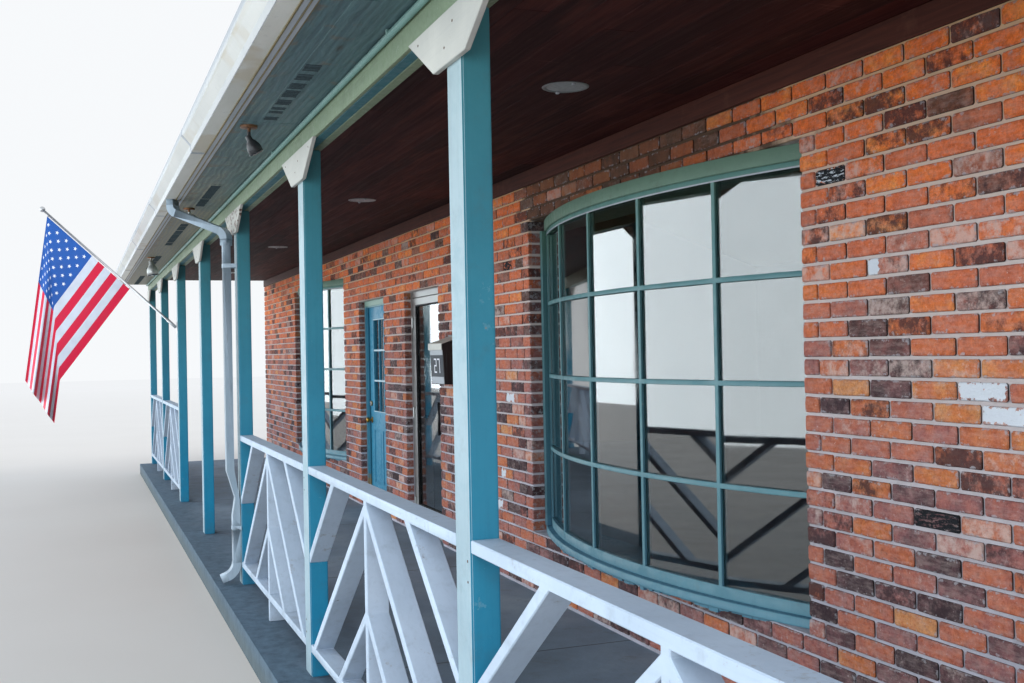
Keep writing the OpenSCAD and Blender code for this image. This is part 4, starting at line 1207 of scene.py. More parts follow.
def brickwork_tree():
    """Sizes each unit from its point's values and frays its outer face."""
    t = Tree(
        "Brickwork", [("Brick", "Object", None), ("Wander", "Float", 0.002), ("Material", "Material", None)]
    )
    laid = t.out(0, "GeometryNodeRealizeInstances", Geometry=t.laid("Brick"))
    corner, half = t.three("corner"), t.three("half")
    depth = corner[2] * half[2] + (1.0 - corner[2]) * t.named("back")
    reach = t.out(0, "ShaderNodeCombineXYZ", X=corner[0] * half[0], Y=corner[1] * half[1], Z=depth)
    laid = t.out(0, "GeometryNodeSetPosition", Geometry=laid, Offset=reach)
    spot = t.out(0, "GeometryNodeInputPosition")
    middle = (0.5, 0.5, 0.5)
    wave = t.out("Color", "ShaderNodeTexNoise", Vector=spot, Scale=21.0, Detail=2.0)
    fray = t.out("Color", "ShaderNodeTexNoise", Vector=spot, Scale=75.0, Detail=1.0)
    shift = t.vector("ADD", t.vector("SUBTRACT", wave, middle), t.vector("SUBTRACT", fray, middle))
    amount = Value(t, t.start["Wander"]) * corner[2]
    shift = t.out(0, "ShaderNodeVectorMath", {"operation": "SCALE"}, Vector=shift, Scale=amount)
    t.close(t.out(0, "GeometryNodeSetPosition", Geometry=laid, Offset=shift))
    return t


MOODS = ((0, 0.12), (0.15, 0.3), (0.34, 0.5), (0.52, 0.66), (0.68, 0.82), (0.84, 0.94), (0.98, 1.0))
OPEN_END, CORNER_ENDS = (0.096, (0.219, 0.106))


def brick_rows(courses, spans_at, bases, seed, size):
    """Bricks of one wall in its own plane: along, up and out."""
    dice = random.Random(seed)
    rows = []
    for k in range(courses):
        z0 = JOINT + k * COURSE + size.bed_joint / 2
        z1 = z0 + COURSE - size.bed_joint
        for a, b, kind_a, kind_b, back_a, back_b in spans_at(z0, z1, k):
            first = ceil((a - bases[k % 2]) / size.brick_l)
            joints = []
            at = bases[k % 2] + first * size.brick_l
            while at < b:
                joints.append(at)
                at += size.brick_l
            for edge, kind, way in ((a, kind_a, 1), (b, kind_b, -1)):
                forced = {"open": OPEN_END, "corner": CORNER_ENDS[k % 2]}.get(kind)
                room = 0.09 + (forced if kind == "corner" else 0)
                near = [j for j in joints if abs(j - edge) < room]
                if near and forced and (b - a > 0.3):
                    joints = sorted([j for j in joints if j not in near] + [edge + way * forced])
                elif near:
                    joints = [j for j in joints if j not in near]
            ends = [a] + joints + [b]
            for i in range(len(ends) - 1):
                left, right = ends[i], ends[i + 1]
                back = 0.0
                grow_l = grow_r = -size.head_joint / 2
                reach = {"open": 0.004, "corner": size.relief}
                if i == 0:
                    grow_l, back = reach.get(kind_a, 0.0), min(back, back_a)
                if i == len(ends) - 2:
                    grow_r, back = reach.get(kind_b, 0.0), min(back, back_b)
                left, right = left - grow_l, right + grow_r
                if right - left < 0.02:
                    continue
                mid = (z0 + z1) / 2
                # The shares shift with height: more orange bricks high up, more mauve and dark ones low down. This is
                # partly painted light, warm above and cool below, and partly the bricks' own spread.
                up = min(1.0, max(0.0, (mid - 1.8) / 0.8))
                down = min(1.0, max(0.0, (1.3 - mid) / 0.9))
                shares = (
                    0.07 + 0.06 * down, 0.12 + 0.1 * down - 0.03 * up, 0.2 + 0.14 * down - 0.12 * up, 0.26,
                    0.24 + 0.08 * up - 0.12 * down, 0.07 + 0.26 * up - 0.04 * down, 0.015,
                )
                mood = dice.choices([dice.uniform(*span) for span in MOODS], shares)[0]
                rows.append({
                    "at": ((left + right) / 2, mid + dice.uniform(-0.0012, 0.0012), 0.0),
                    "half": (
                        (right - left) / 2, (z1 - z0) / 2 + dice.uniform(-0.001, 0.001),
                        size.relief + dice.uniform(-0.0015, 0.0015),
                    ),
                    "back": back - 0.001, "tone": mood, "lime": dice.random() ** 2.3,
                    "char": dice.random() ** (1.2 if mood < 0.3 else 3.4), "seed": dice.uniform(0, 20),
                })
    return rows


BRICK_KINDS = {
    "half": "FLOAT_VECTOR",
    **dict.fromkeys(("back", "tone", "lime", "char", "seed", "stain", "white", "soot"), "FLOAT")
}


def lay_bricks(rows, shape, wander, place, name, tree):
    """One piece of brickwork from its rows."""
    mesh = grow(
        tree, point_mesh(rows, BRICK_KINDS), {"Brick": shape, "Wander": wander, "Material": finish("brick")}
    )
    mesh.transform(place)
    settle(mesh, name, "building", "brick", "brick")


def wall_frame(along, out, origin=(0, 0, 0)):
    """Matrix of a wall's own plane: along it, up, and out of it."""
    a, o = Vector(along), Vector(out)
    made = Matrix.Identity(4)
    for i in range(3):
        made[i][0], made[i][1], made[i][2], made[i][3] = a[i], (0, 0, 1)[i], o[i], origin[i]
    return made


def spans_between(gaps):
    """Stretches of a long wall between gaps of (left, right, bottom, top, reveal)."""

    def spans(z0, z1, k):
        back = (-0.1, -0.213)[k % 2]
        found, start, kind, depth = [], -HALF, "corner", back
        for a, b, _, _, reveal in sorted(g for g in gaps if g[2] < z1 - 0.01 and g[3] > z0 + 0.01):
            found.append((start, a, kind, "open", depth, reveal))
            start, kind, depth = b, "open", reveal
        return found + [(start, HALF, kind, "corner", depth, back)]

    return spans


FRONT_GAPS = [(x - BOW_W / 2, x + BOW_W / 2, SEAT, HEAD, -0.11) for x in BOWS]
FRONT_GAPS += [(x - DOOR_W / 2, x + DOOR_W / 2, 0, DOOR_HEAD, -0.052) for x in DOORS]
BACK_GAPS = [(x - 0.6, x + 0.6, 1.05, 2.25, -0.05) for x in (-5.4, 0, 5.4)]
ROOF_FOOT = FLOOR + EAVE_H


def roof_under(y):
    """Height of the underside of the roof."""
    ridge = (low("roof_front").y + high("roof_rear").y) / 2
    run = y - (low("roof_front").y + 0.038) if y < ridge else high("roof_rear").y - 0.038 - y
    return ROOF_FOOT + 0.14 + PITCH * run


def side_spans(flip):
    """Stretches of an end wall, up to the slope of the roof."""

    def spans(z0, z1, k):
        start = (0.112, 0.225)[k % 2]
        a, b = WALL + start, BACK - start
        while roof_under(a) < z1 + 0.03 and a < b:
            a += 0.05
        while roof_under(b) < z1 + 0.03 and a < b:
            b -= 0.05
        if b - a < 0.25:
            return []
        return [(-b, -a, "end", "end", 0, 0)] if flip else [(a, b, "end", "end", 0, 0)]

    return spans


def brick_at(rows, x, z):
    """The brick of a wall's rows that covers a point."""
    return min(rows, key=lambda r: max(abs(r["at"][0] - x) - r["half"][0], 0) + 4 * abs(r["at"][1] - z))


class SHOP_OT_front_bricks(bpy.types.Operator):
    """Lays the bricks of the street front, with its painted, sooty and stained ones."""

    bl_idname = "shop.front_bricks"
    bl_label = "Front brickwork"

    def execute(self, context):
        size = context.scene.shop_sizes
        rows = brick_rows(36, spans_between(FRONT_GAPS), (5.55, 5.657), 11, size)
        dice = random.Random(5)
        letter = low("mailbox"), high("mailbox")
        top = low("ceiling_trim").z
        kept = []
        for row in rows:
            x, z, _ = row["at"]
            if z - 0.03 > top:
                continue
            if letter[0].x - 0.13 < x < letter[1].x + 0.13 and letter[0].z - 0.04 < z < letter[1].z + 0.04:
                row["half"] = row["half"][0], row["half"][1], 0.0022
            if z > HEAD and 2.3 < x < 5.3:
                share = max(0.0, min(1.0, (5.3 - x) / 1.1))
                row["stain"] = share * dice.uniform(0.75, 1.0) * dice.choice((1, 1, 1, 0.8))
            if HEAD < z < HEAD + COURSE and 4.1 < x < 5.4:
                row["at"] = x, z + 0.005, 0.0
                row["half"] = row["half"][0], row["half"][1] - 0.005, row["half"][2]
            if z > HEAD and x > 4.9:
                row["tone"] = dice.uniform(0.7, 0.9)
            # Painted shade: the bricks at the far jamb of the near bow window get darker tones, for their shaded
            # return.
            if SEAT < z < HEAD and 2.2 < x < 2.42:
                row["tone"] *= 0.75
            kept.append(row)
        for x, z, changes in (
            (6.344, 1.55, {"white": 1.0}), (6.224, 1.47, {"tone": 0.95, "char": 0, "lime": 0.45}),
            (6.44, 1.47, {"white": 0.97, "lime": 1.0}), (5.57, 2.372, {"soot": 1.0, "white": 0.9}),
            (5.82, 2.003, {"white": 0.3, "tone": 0.4}), (6.11, 1.1, {"soot": 0.95, "tone": 0.1}),
            (2.058, 1.4, {"white": 0.6}), (1.9, 0.66, {"white": 0.5}), (1.968, 0.88, {"white": 0.4}),
            (2.896, 2.676, {"stain": 0.3, "lime": 1.6, "tone": 0.6}), (6.236, 2.078, {"lime": 1.5}),
            (1.95, 2.3, {"soot": 0.6}),
        ):
            brick_at(kept, x, z).update(changes)
        tree, shape = brickwork_tree(), brick_shape(True)
        place = wall_frame((1, 0, 0), (0, -1, 0), (0, WALL, 0))
        for name, near in (("bricks_front_near", True), ("bricks_front_far", False)):
            lay_bricks([r for r in kept if (r["at"][0] > 1.3) == near], shape, 0.0034, place, name, tree)
        bpy.data.objects.remove(shape)
        dress("mortar", "front_walls", "window_aprons", "door_headers", "front_wall_top")
        return {"FINISHED"}


class SHOP_OT_other_bricks(bpy.types.Operator):
    """Lays the bricks of the two end walls and the back."""

    bl_idname = "shop.other_bricks"
    bl_label = "End and back brickwork"

    def execute(self, context):
        size = context.scene.shop_sizes
        tree, shape = brickwork_tree(), brick_shape(False)
        for name, spans, along, out, origin, seed in (
            ("bricks_end_near", side_spans(False), (0, 1, 0), (1, 0, 0), (HALF, 0, 0), 21),
            ("bricks_end_far", side_spans(True), (0, -1, 0), (-1, 0, 0), (-HALF, 0, 0), 22),
            ("bricks_back", spans_between(BACK_GAPS), (-1, 0, 0), (0, 1, 0), (0, BACK, 0), 23),
        ):
            rows = brick_rows(60 if "end" in name else 36, spans, (0.0, 0.113), seed, size)
            rows = [r for r in rows if "end" in name or r["at"][1] < ROOF_FOOT]
            lay_bricks(rows, shape, 0.0012, wall_frame(along, out, origin), name, tree)
        bpy.data.objects.remove(shape)
        dress("mortar", "side_wall_near", "side_wall_far", "back_wall")
        return {"FINISHED"}


# Roof and porch


def shingle_shape():
    """A tab whose butt stands up and whose top edge runs under the next row."""
    ring = [(-1, -1), (1, -1), (1, 1), (-1, 1)]
    corners = [(u, v, 0.0) for u, v in ring] + [(u, v, 1.0 if v < 0 else 0.2) for u, v in ring]
    return unit_mesh("shingle_shape", [(0, 0, 0)] * 8, corners, BOX_FACES)


LAP = 0.022
CAP_HALF = 0.15


class SHOP_OT_roof(bpy.types.Operator):
    """Covers both slopes with shingle tabs and the ridge with caps."""

    bl_idname = "shop.roof"
    bl_label = "Roof shingles"

    def execute(self, context):
        size = context.scene.shop_sizes
        tree = brickwork_tree()
        shape = shingle_shape()
        dice = random.Random(31)
        slope = atan(PITCH)
        for name, node, way in (("shingles_front", "roof_front", 1), ("shingles_rear", "roof_rear", -1)):
            a, b = low(node), high(node)
            edge_y = a.y if way > 0 else b.y
            run = (b.y - a.y) / cos(slope)
            foot = Vector((0, edge_y, b.z - (b.y - a.y) * PITCH))
            up = Vector((0, way * cos(slope), sin(slope)))
            out = Vector((0, -way * sin(slope), cos(slope)))
            place = wall_frame((way, 0, 0), out, foot)
            for i in range(3):
                place[i][1] = up[i]
            rows = []
            for r in range(int(run / size.shingle_h) + 1):
                v0 = r * size.shingle_h - (0.008 if r == 0 else 0)
                v1 = min(v0 + size.shingle_h + LAP, run - 0.004)
                if v1 - v0 < 0.03:
                    continue
                u = a.x - size.shingle_w * (0.5 * (r % 2) + 0.12 * (r % 3))
                while u < b.x:
                    left, right = max(u + 0.002, a.x), min(u + size.shingle_w - 0.003, b.x)
                    if right - left > 0.03:
                        rows.append({
                            "at": ((left + right) / 2, (v0 + v1) / 2 + dice.uniform(-0.002, 0.002), 0.0),
                            "half": ((right - left) / 2, (v1 - v0) / 2, 0.006), "back": -0.001,
                            "shade": dice.choice((0.15, 0.4, 0.5, 0.62, 0.85)) + dice.uniform(-0.08, 0.08),
                        })
                    u += size.shingle_w
            mesh = grow(
                tree, point_mesh(rows, {"half": "FLOAT_VECTOR", "back": "FLOAT", "shade": "FLOAT"}),
                {"Brick": shape, "Wander": 0.0016, "Material": finish("shingle")},
            )
            mesh.transform(place)
            settle(mesh, name, "building", "shingle", "shingles")
        bpy.data.objects.remove(shape)
        caps = Solids()
        a, b = low("roof_front"), high("roof_front")
        top = b.z
        count = int((b.x - a.x) / size.shingle_h)
        step = (b.x - a.x) / count
        for i in range(count):
            shade = dice.uniform(0.1, 0.9)
            for way in (-1, 1):
                across = Vector((0, way * cos(slope), -sin(slope)))
                out = Vector((0, way * sin(slope), cos(slope)))
                ridge = Vector((0, b.y, top + 0.004))
                x0, x1 = (a.x + i * step, a.x + (i + 1) * step + (0.01 if i < count - 1 else 0))
                points = []
                for x, lift in ((x0, 0.007), (x1, 0.003)):
                    for s, w in ((0.0, -0.001), (CAP_HALF, -0.001), (CAP_HALF, lift), (0.0, lift)):
                        points.append(Vector((x, 0, 0)) + ridge + across * s + out * w)
                caps.add(points, BOX_FACES if way > 0 else [f[::-1] for f in BOX_FACES], shade)
        caps.make("ridge_caps", "shingle", "shingles")
        dress("board_under", "roof_front", "roof_rear")
        for node in ("porch_gables", "fascias"):
            soften(node, 0.003, "white_trim", "white_paint")
        return {"FINISHED"}


class SHOP_OT_ceiling(bpy.types.Operator):
    """Lays the stained boards of the porch ceiling and its wall trim."""

    bl_idname = "shop.ceiling"
    bl_label = "Porch ceiling"

    def execute(self, context):
        size = context.scene.shop_sizes
        a, b = low("porch_ceiling"), high("porch_ceiling")
        dice = random.Random(41)
        boards = Solids()
        rows = round((b.y - a.y) / size.plank)
        wide = (b.y - a.y) / rows
        for r in range(rows):
            x = a.x
            length = dice.uniform(1.2, 3.6)
            while x < b.x - 0.01:
                end = min(x + length, b.x)
                if b.x - end < 0.5:
                    end = b.x
                boards.block(
                    (x + 0.0005, a.y + r * wide + 0.0006, a.z + dice.uniform(0, 0.0012)),
                    (end - 0.0005, a.y + (r + 1) * wide - 0.0006, b.z), 0.0016, dice.random(),
                )
                x, length = end, dice.choice((2.44, 3.05, 3.66, 4.27))
        boards.make("ceiling_boards", "stained_boards", "stained_boards", ("porch_ceiling",))
        soften("ceiling_trim", 0.004, "trim_brown", "trim_brown")
        return {"FINISHED"}


SLAT_STEP = 0.0262
VENT_STEP = 3.12
VENT_HALF = 0.039
VENT_Y = -6.402


class SHOP_OT_soffit(bpy.types.Operator):
    """Fits the soffit panels, their seams, vent strips and edge trim."""

    bl_idname = "shop.soffit"
    bl_label = "Soffit"

    def execute(self, context):
        size = context.scene.shop_sizes
        a, b = low("soffits"), high("soffits")
        dice = random.Random(51)
        beam = low("beam_boards").y
        panels, trims, vents = Solids(), Solids(), Solids()
        for y0, y1 in ((a.y, beam), (BACK, b.y)):
            x = b.x
            end = 3.81 if y0 < 0 else b.x - size.siding
            while x > a.x + 0.02:
                panels.block((max(end, a.x) + 0.002, y0, a.z), (x - 0.002, y1, b.z), 0.0015, dice.random())
                x, end = end, end - size.siding
        one = Solids()
        one.bar(
            [(-0.0065, 0.0005), (-0.004, -0.0032), (0.0045, -0.001), (0.0065, 0.0005)], -0.031, 0.031, 0,
            ALONG_Y,
        )
        spots = []
        for y in (VENT_Y, BACK + 0.17):
            for k in range(6):
                x0, x1 = (end - VENT_STEP * k + VENT_STEP for end in (3.87, 5.79))
                if k == 2 and y < 0:
                    x0, x1 = (0.66, 1.77)
                x0, x1 = max(x0, a.x + 0.1), min(x1, b.x - 0.1)
                if x1 - x0 < 0.4:
                    continue
                vents.block((x0, y - VENT_HALF, a.z - 0.0018), (x1, y + VENT_HALF, a.z + 0.004), 0.0006)
                torn = k == 1 and y < 0
                for i in range(int((x1 - x0 - 0.04) / SLAT_STEP)):
                    if dice.random() > (0.35 if torn else 0.08) and (not (torn and i > 40)):
                        x = x0 + 0.03 + i * SLAT_STEP + dice.uniform(-0.002, 0.002)
                        spots.append((x, y + dice.uniform(-0.002, 0.002), a.z - 0.002))
        scatter("slat", one, spots, "vent_slot", "vent_louvres", "soffit_metal")
        pale = Solids()
        for y, w, drop_z, group in (
            (a.y - 0.046, 0.007, 0.005, trims), (a.y - 0.018, 0.005, 0.006, trims),
            (a.y + 0.004, 0.005, 0.004, trims), (a.y - 0.032, 0.021, 0.0035, pale),
            (a.y - 0.007, 0.017, 0.0045, pale), (beam - 0.012, 0.01, 0.006, pale),
        ):
            group.block((a.x, y - w / 2, a.z - drop_z), (b.x, y + w / 2, a.z + 0.003), 0.0012)
        pale.make("soffit_flanges", "gutter_metal", "soffit_metal")
        panels.make("soffit_panels", "soffit_ply", "soffit_metal", ("soffits",))
        vents.make("soffit_vents", "soffit_ply", "soffit_metal")
        trims.make("soffit_trims", "edge_metal", "soffit_metal")
        return {"FINISHED"}


class SHOP_OT_porch_timber(bpy.types.Operator):
    """Eases the edges of beam, posts, post plates and railings, and nails them."""

    bl_idname = "shop.porch_timber"
    bl_label = "Porch timber"

    def execute(self, context):
        soften("porch_beam", 0.003, "core_paint", "beam_paint")
        soften("beam_boards", 0.003, "beam_paint", "green_paint")
        soften("posts", 0.005, "post_paint", "teal_paint", segments=2, split=True)
        soften("post_gussets", 0.002, "plate_paint", "white_paint", split=True)
        for k in range(1, 6):
            soften(f"railing_{k}", 0.003, "white_rail", "white_paint")
        one = Solids()
        turn = spun(90, "X")
        one.lathe([(0, -0.0004), (0.0045, -0.0004), (0.0042, 0.0008), (0, 0.0013)], turn, 8)
        face = low("post_gussets").y
        top = high("post_gussets").z
        dice = random.Random(61)
        spots = []
        for x in POST_X:
            for dx, dz in ((-0.3, 0.028), (-0.03, 0.1), (0.045, 0.05), (0.3, 0.028)):
                px = x + dx + dice.uniform(-0.008, 0.008)
                if abs(px) < HALF - 0.02:
                    spots.append((px, face, top - dz + dice.uniform(-0.006, 0.006)))
        for x in POST_X[1:7]:
            for dz in (0.9, 0.96, 0.2, 0.26):
                spots.append((x + dice.choice((-0.04, 0.04)), POST, FLOOR + dz))
        scatter("nail", one, spots, "rusty", "nail_heads", "white_paint", 40)
        return {"FINISHED"}


HANGERS = 27
GUTTER = [(0, 0), (0.102, 0), (0.106, 0.04), (0.138, 0.078), (0.152, 0.092), (0.152, 0.12)]


class SHOP_OT_gutters(bpy.types.Operator):
    """Finishes gutters and downspout, with seams, hangers and sleeves."""

    bl_idname = "shop.gutters"
    bl_label = "Gutters and downspout"

    def execute(self, context):
        smooth_copy("gutters", "gutter_paint", "white_metal", 30)
        smooth_copy("downspout", "spout_metal", "white_metal", 35)
        a, b = low("gutters"), high("gutters")
        seams = Solids()
        step = (b.x - a.x) / 6
        for side, y0 in ((-1, low("fascias").y), (1, high("fascias").y)):
            for k in range(1, 6):
                x = a.x + k * step
                for (u0, v0), (u1, v1) in zip(GUTTER, GUTTER[1:]):
                    way = Vector((u1 - u0, v1 - v0))
                    out = Vector((way.y, -way.x)).normalized() * 0.0015
                    ring = [(u0, v0), (u0 + out.x, v0 + out.y), (u1 + out.x, v1 + out.y), (u1, v1)]
                    ring = [(y0 + side * u, a.z + v) for u, v in ring]
                    if side > 0:
                        ring = ring[::-1]
                    seams.bar(ring, x - 0.02, x + 0.02, 0, ALONG_X)
            for k in range(HANGERS):
                x = a.x + (k + 0.5) * (b.x - a.x) / HANGERS
                ends = sorted((y0 + side * 0.004, y0 + side * 0.15))
                seams.block((x - 0.011, ends[0], a.z + 0.112), (x + 0.011, ends[1], a.z + 0.115), 0.0006)
        seams.make("gutter_seams", "gutter_metal", "white_metal")
        return {"FINISHED"}


# Windows, doors and fittings
BEADS = 60
BEAD_Z = (2.4652, 2.4725)
BOW_SET = 0.147


class SHOP_OT_windows(bpy.types.Operator):
    """Finishes both bow windows and the rear windows."""

    bl_idname = "shop.windows"
    bl_label = "Windows"

    def execute(self, context):
        for k in (1, 2):
            soften(f"window_{k}_frame", 0.003, "sash_paint", "window_paint")
        soften("window_seats", 0.004, "sash_paint", "window_paint")
        soften("window_heads", 0.004, "head_paint", "window_paint")
        soften("rear_window_frames", 0.003, "sash_paint", "window_paint")
        dress("glass", "window_glass", "rear_window_glass")
        dice = random.Random(71)
        caulk, beads = Solids(), Solids()
        radius = (BOW_W * BOW_W / 4 + BOW_RISE * BOW_RISE) / (2 * BOW_RISE)
        half = asin(BOW_W / 2 / radius) - 0.004
        for mid in BOWS:

            def arc(out, turn):
                """A point of the bow in plan, so far outside its frame."""
                r = radius + out
                return mid + r * sin(turn), WALL - BOW_SET + radius - r * cos(turn)

            for i in range(BEADS):
                turns = [-half + 2 * half * min(q, BEADS) / BEADS for q in (i, i + 1.02)]
                ring = [
                    arc(-0.0005, turns[0]), arc(0.0025, turns[0]), arc(0.0025, turns[1]),
                    arc(-0.0005, turns[1]),
                ]
                beads.bar(ring, *BEAD_Z, 0)
            at = -half
            while at < half:
                wide = dice.uniform(0.006, 0.016)
                deep = dice.choice((0.002, 0.006, 0.01, 0.02)) * dice.uniform(0.6, 1.3)
                end = min(at + wide, half)
                ring = [arc(0.004, at), arc(0.026, at), arc(0.026, end), arc(0.004, end)]
                shrunk = [(Vector(p) - Vector(ring[0])) * 0.9 + Vector(ring[0]) for p in ring]
                points = [(p[0], p[1], SEAT + 0.001) for p in ring] + [
                    (p[0], p[1], SEAT - deep) for p in shrunk
                ]
                caulk.add(
                    points,
                    [(0, 1, 2, 3), (7, 6, 5, 4), (4, 5, 1, 0), (5, 6, 2, 1), (6, 7, 3, 2), (7, 4, 0, 3)],
                    dice.random(),
                )
                at = end + dice.choice((0.0, 0.0, 0.004))
        caulk.make("seat_caulk", "sash_paint", "window_paint")
        beads.make("glazing_beads", "gutter_metal", "window_paint")
        return {"FINISHED"}


LEAF_W = 0.906
DOOR_1_FACE, DOOR_1_BACK = WALL + 0.088, WALL + 0.132
DOOR_2_FACE, DOOR_2_BACK = WALL + 0.06, WALL + 0.105


def border(u0, u1, v0, v1, w):
    """Four strips of width w just inside a rectangle."""
    return (
        (u0, u1, v0, v0 + w), (u0, u1, v1 - w, v1), (u0, u0 + w, v0 + w, v1 - w),
        (u1 - w, u1, v0 + w, v1 - w),
    )


class SHOP_OT_doors(bpy.types.Operator):
    """Finishes the painted door and the glass door."""

    bl_idname = "shop.doors"
    bl_label = "Doors"

    def execute(self, context):
        soften("door_1_frame", 0.002, "frame_paint", "teal_paint")
        soften("door_1_leaf", 0.002, "door_paint", "teal_paint", "door_1")
        soften("door_2_frame", 0.001, "aluminium", "aluminium")
        soften("door_2_leaf", 0.0015, "aluminium", "aluminium", "door_2")
        dress("glass", "door_1_glass", "door_2_glass")
        smooth_copy("door_1_knobs", "brass", "brass", 40, "door_1")
        smooth_copy("door_2_pull", "black_metal", "black_metal", 40, "door_2")
        x0, z0 = DOORS[0] - LEAF_W / 2, FLOOR + 0.027
        face, back = DOOR_1_FACE, DOOR_1_BACK
        fields, bars, bolts, seals = Solids(), Solids(), Solids(), Solids()
        for left in (x0 + 0.15, x0 + 0.488):
            for y0, y1 in ((face + 0.003, face + 0.0105), (back - 0.0105, back - 0.003)):
                fields.block((left + 0.03, y0, z0 + 0.26), (left + 0.238, y1, z0 + 0.74), 0.003)
                for u0, u1, v0, v1 in border(0, 0.268, 0.23, 0.77, 0.012):
                    fields.block((left + u0, y0 + 0.002, z0 + v0), (left + u1, y1, z0 + v1), 0.002)
        for k in (1, 2):
            z = z0 + 0.96 + 0.925 * k / 3
            bars.block(
                (DOORS[0] - 0.28, face + 0.001, z - 0.008), (DOORS[0] + 0.28, face + 0.0065, z + 0.008),
                0.0015,
            )
        for z in (z0 + 0.952, z0 + 1.885):
            bars.block(
                (DOORS[0] - 0.29, face - 0.004, z), (DOORS[0] + 0.29, face + 0.001, z + 0.009), 0.0015
            )
        knob_x = DOORS[0] - 0.388
        turn = Matrix.Translation((knob_x, face - 0.0139, FLOOR + 1.06)) @ spun(90, "X")
        bolts.lathe(
            [(0, -0.001), (0.0272, -0.001), (0.0262, 0.0016), (0.012, 0.003), (0.0105, 0.0062), (0, 0.0066)],
            turn, 32,
        )
        rim = LEAF_W / 2 - 0.054
        for y in (DOOR_2_FACE + 0.009, DOOR_2_BACK - 0.0095):
            for u0, u1, v0, v1 in border(DOORS[1] - rim, DOORS[1] + rim, z0 + 0.19, 2.204 - 0.06, 0.013):
                seals.block((u0, y - 0.0075, v0), (u1, y + 0.0075, v1), 0.0015)
        fields.make("door_1_fields", "door_paint", "teal_paint", body="door_1")
        bars.make("door_1_bars", "bar_paint", "teal_paint", body="door_1")
        bolts.make("door_1_bolt_face", "aluminium", "aluminium", smooth=40, body="door_1")
        seals.make("door_2_seals", "rubber", "black_metal", body="door_2")
        return {"FINISHED"}


# Strokes of the two figures on the letter box, in shares of their width and height
STROKES = {
    "2": ((0, 1, 1, 1), (1, 0.5, 1, 1), (0, 0.5, 1, 0.5), (0, 0, 0, 0.5), (0, 0, 1, 0)),
    "7": ((0, 1, 1, 1), (1, 0, 1, 1)),
}
FIGURE_W, FIGURE_H, STROKE = (0.048, 0.1, 0.011)


class SHOP_OT_letter_box(bpy.types.Operator):
    """Finishes the letter box with its bands and number plate."""

    bl_idname = "shop.letter_box"
    bl_label = "Letter box"

    def execute(self, context):
        soften("mailbox", 0.0015, "black_metal", "black_metal")
        # The lid's pale finish is a painted reflection on black metal.
        soften("mailbox_lid", 0.0012, "lid_metal", "black_metal", "letter_lid")
        mid = (low("mailbox").x + high("mailbox").x) / 2
        base, front = FLOOR + 1.323, WALL - 0.16
        slope = 0.014 / 0.305
        bands, plate, digits, ribs = Solids(), Solids(), Solids(), Solids()

        def strip(group, x0, x1, z0, z1, lift, thick):
            """A thin bar on the sloping front face, between heights above the foot of the box."""
            points = []
            for z in (base + z0, base + z1):
                y = front + 0.014 - (z - base) * slope
                outer, inner = y - lift - thick, y - lift + 0.0004
                points += [(x0, outer, z), (x1, outer, z), (x1, inner, z), (x0, inner, z)]
            group.add(points, BOX_FACES)

        w = 0.157
        for group, z0, z1, lift, thick in (
            (bands, 0.006, 0.058, 0, 0.002), (bands, 0.226, 0.264, 0, 0.002),
            (bands, 0.232, 0.238, 0.002, 0.0035), (bands, 0.246, 0.252, 0.002, 0.0035),
            (plate, 0.06, 0.224, 0, 0.0016),
        ):
            strip(group, mid - w, mid + w, z0, z1, lift, thick)
        for left, mark in ((mid - 0.07, "2"), (mid + 0.014, "7")):
            for u0, v0, u1, v1 in STROKES[mark]:
                x0, x1 = left + u0 * FIGURE_W, left + u1 * FIGURE_W + STROKE
                strip(digits, x0, x1, 0.088 + v0 * FIGURE_H, 0.088 + v1 * FIGURE_H + STROKE, 0.0016, 0.0012)
        for side in (-1, 1):
            x = mid + side * 0.1675
            for y0, y1 in ((0.03, 0.05), (0.062, 0.072), (0.084, 0.104)):
                pair = sorted((x - side * 0.0004, x + side * 0.0024))
                ribs.block((pair[0], front + y0, base + 0.03), (pair[1], front + y1, base + 0.25), 0.0008)
        bands.make("letter_bands", "gutter_metal", "black_metal")
        plate.make("letter_plate", "slate_metal", "black_metal")
        digits.make("letter_digits", "star_cloth", "black_metal")
        ribs.make("letter_ribs", "black_metal", "black_metal")
        return {"FINISHED"}


LIGHT_X, LIGHT_STEP = (0.794, 3.84)
# Place along the eave, distance behind it, scale and turns about X and Y of each flood lamp
FLOODS = ((3.712, 0.072, 0.58, 27, 0), (0.521, 0.084, 0.52, 20, -62), (-3.788, 0.072, 1.0, 8, 0))
# Profiles of a flood lamp in millimetres
LAMP_HEAD = (
    (0, -137), (53, -136), (60, -124), (61, -98), (56, -70), (42, -40), (26, -18), (24, 18), (20, 24),
    (0, 24),
)
LAMP_GLASS = ((0, -135.5), (52, -135.5), (50, -139), (30, -142.5), (0, -143))
LAMP_RIM = ((53.5, -134), (61.5, -129.5), (64, -130.5), (64, -136), (56.5, -140.5))


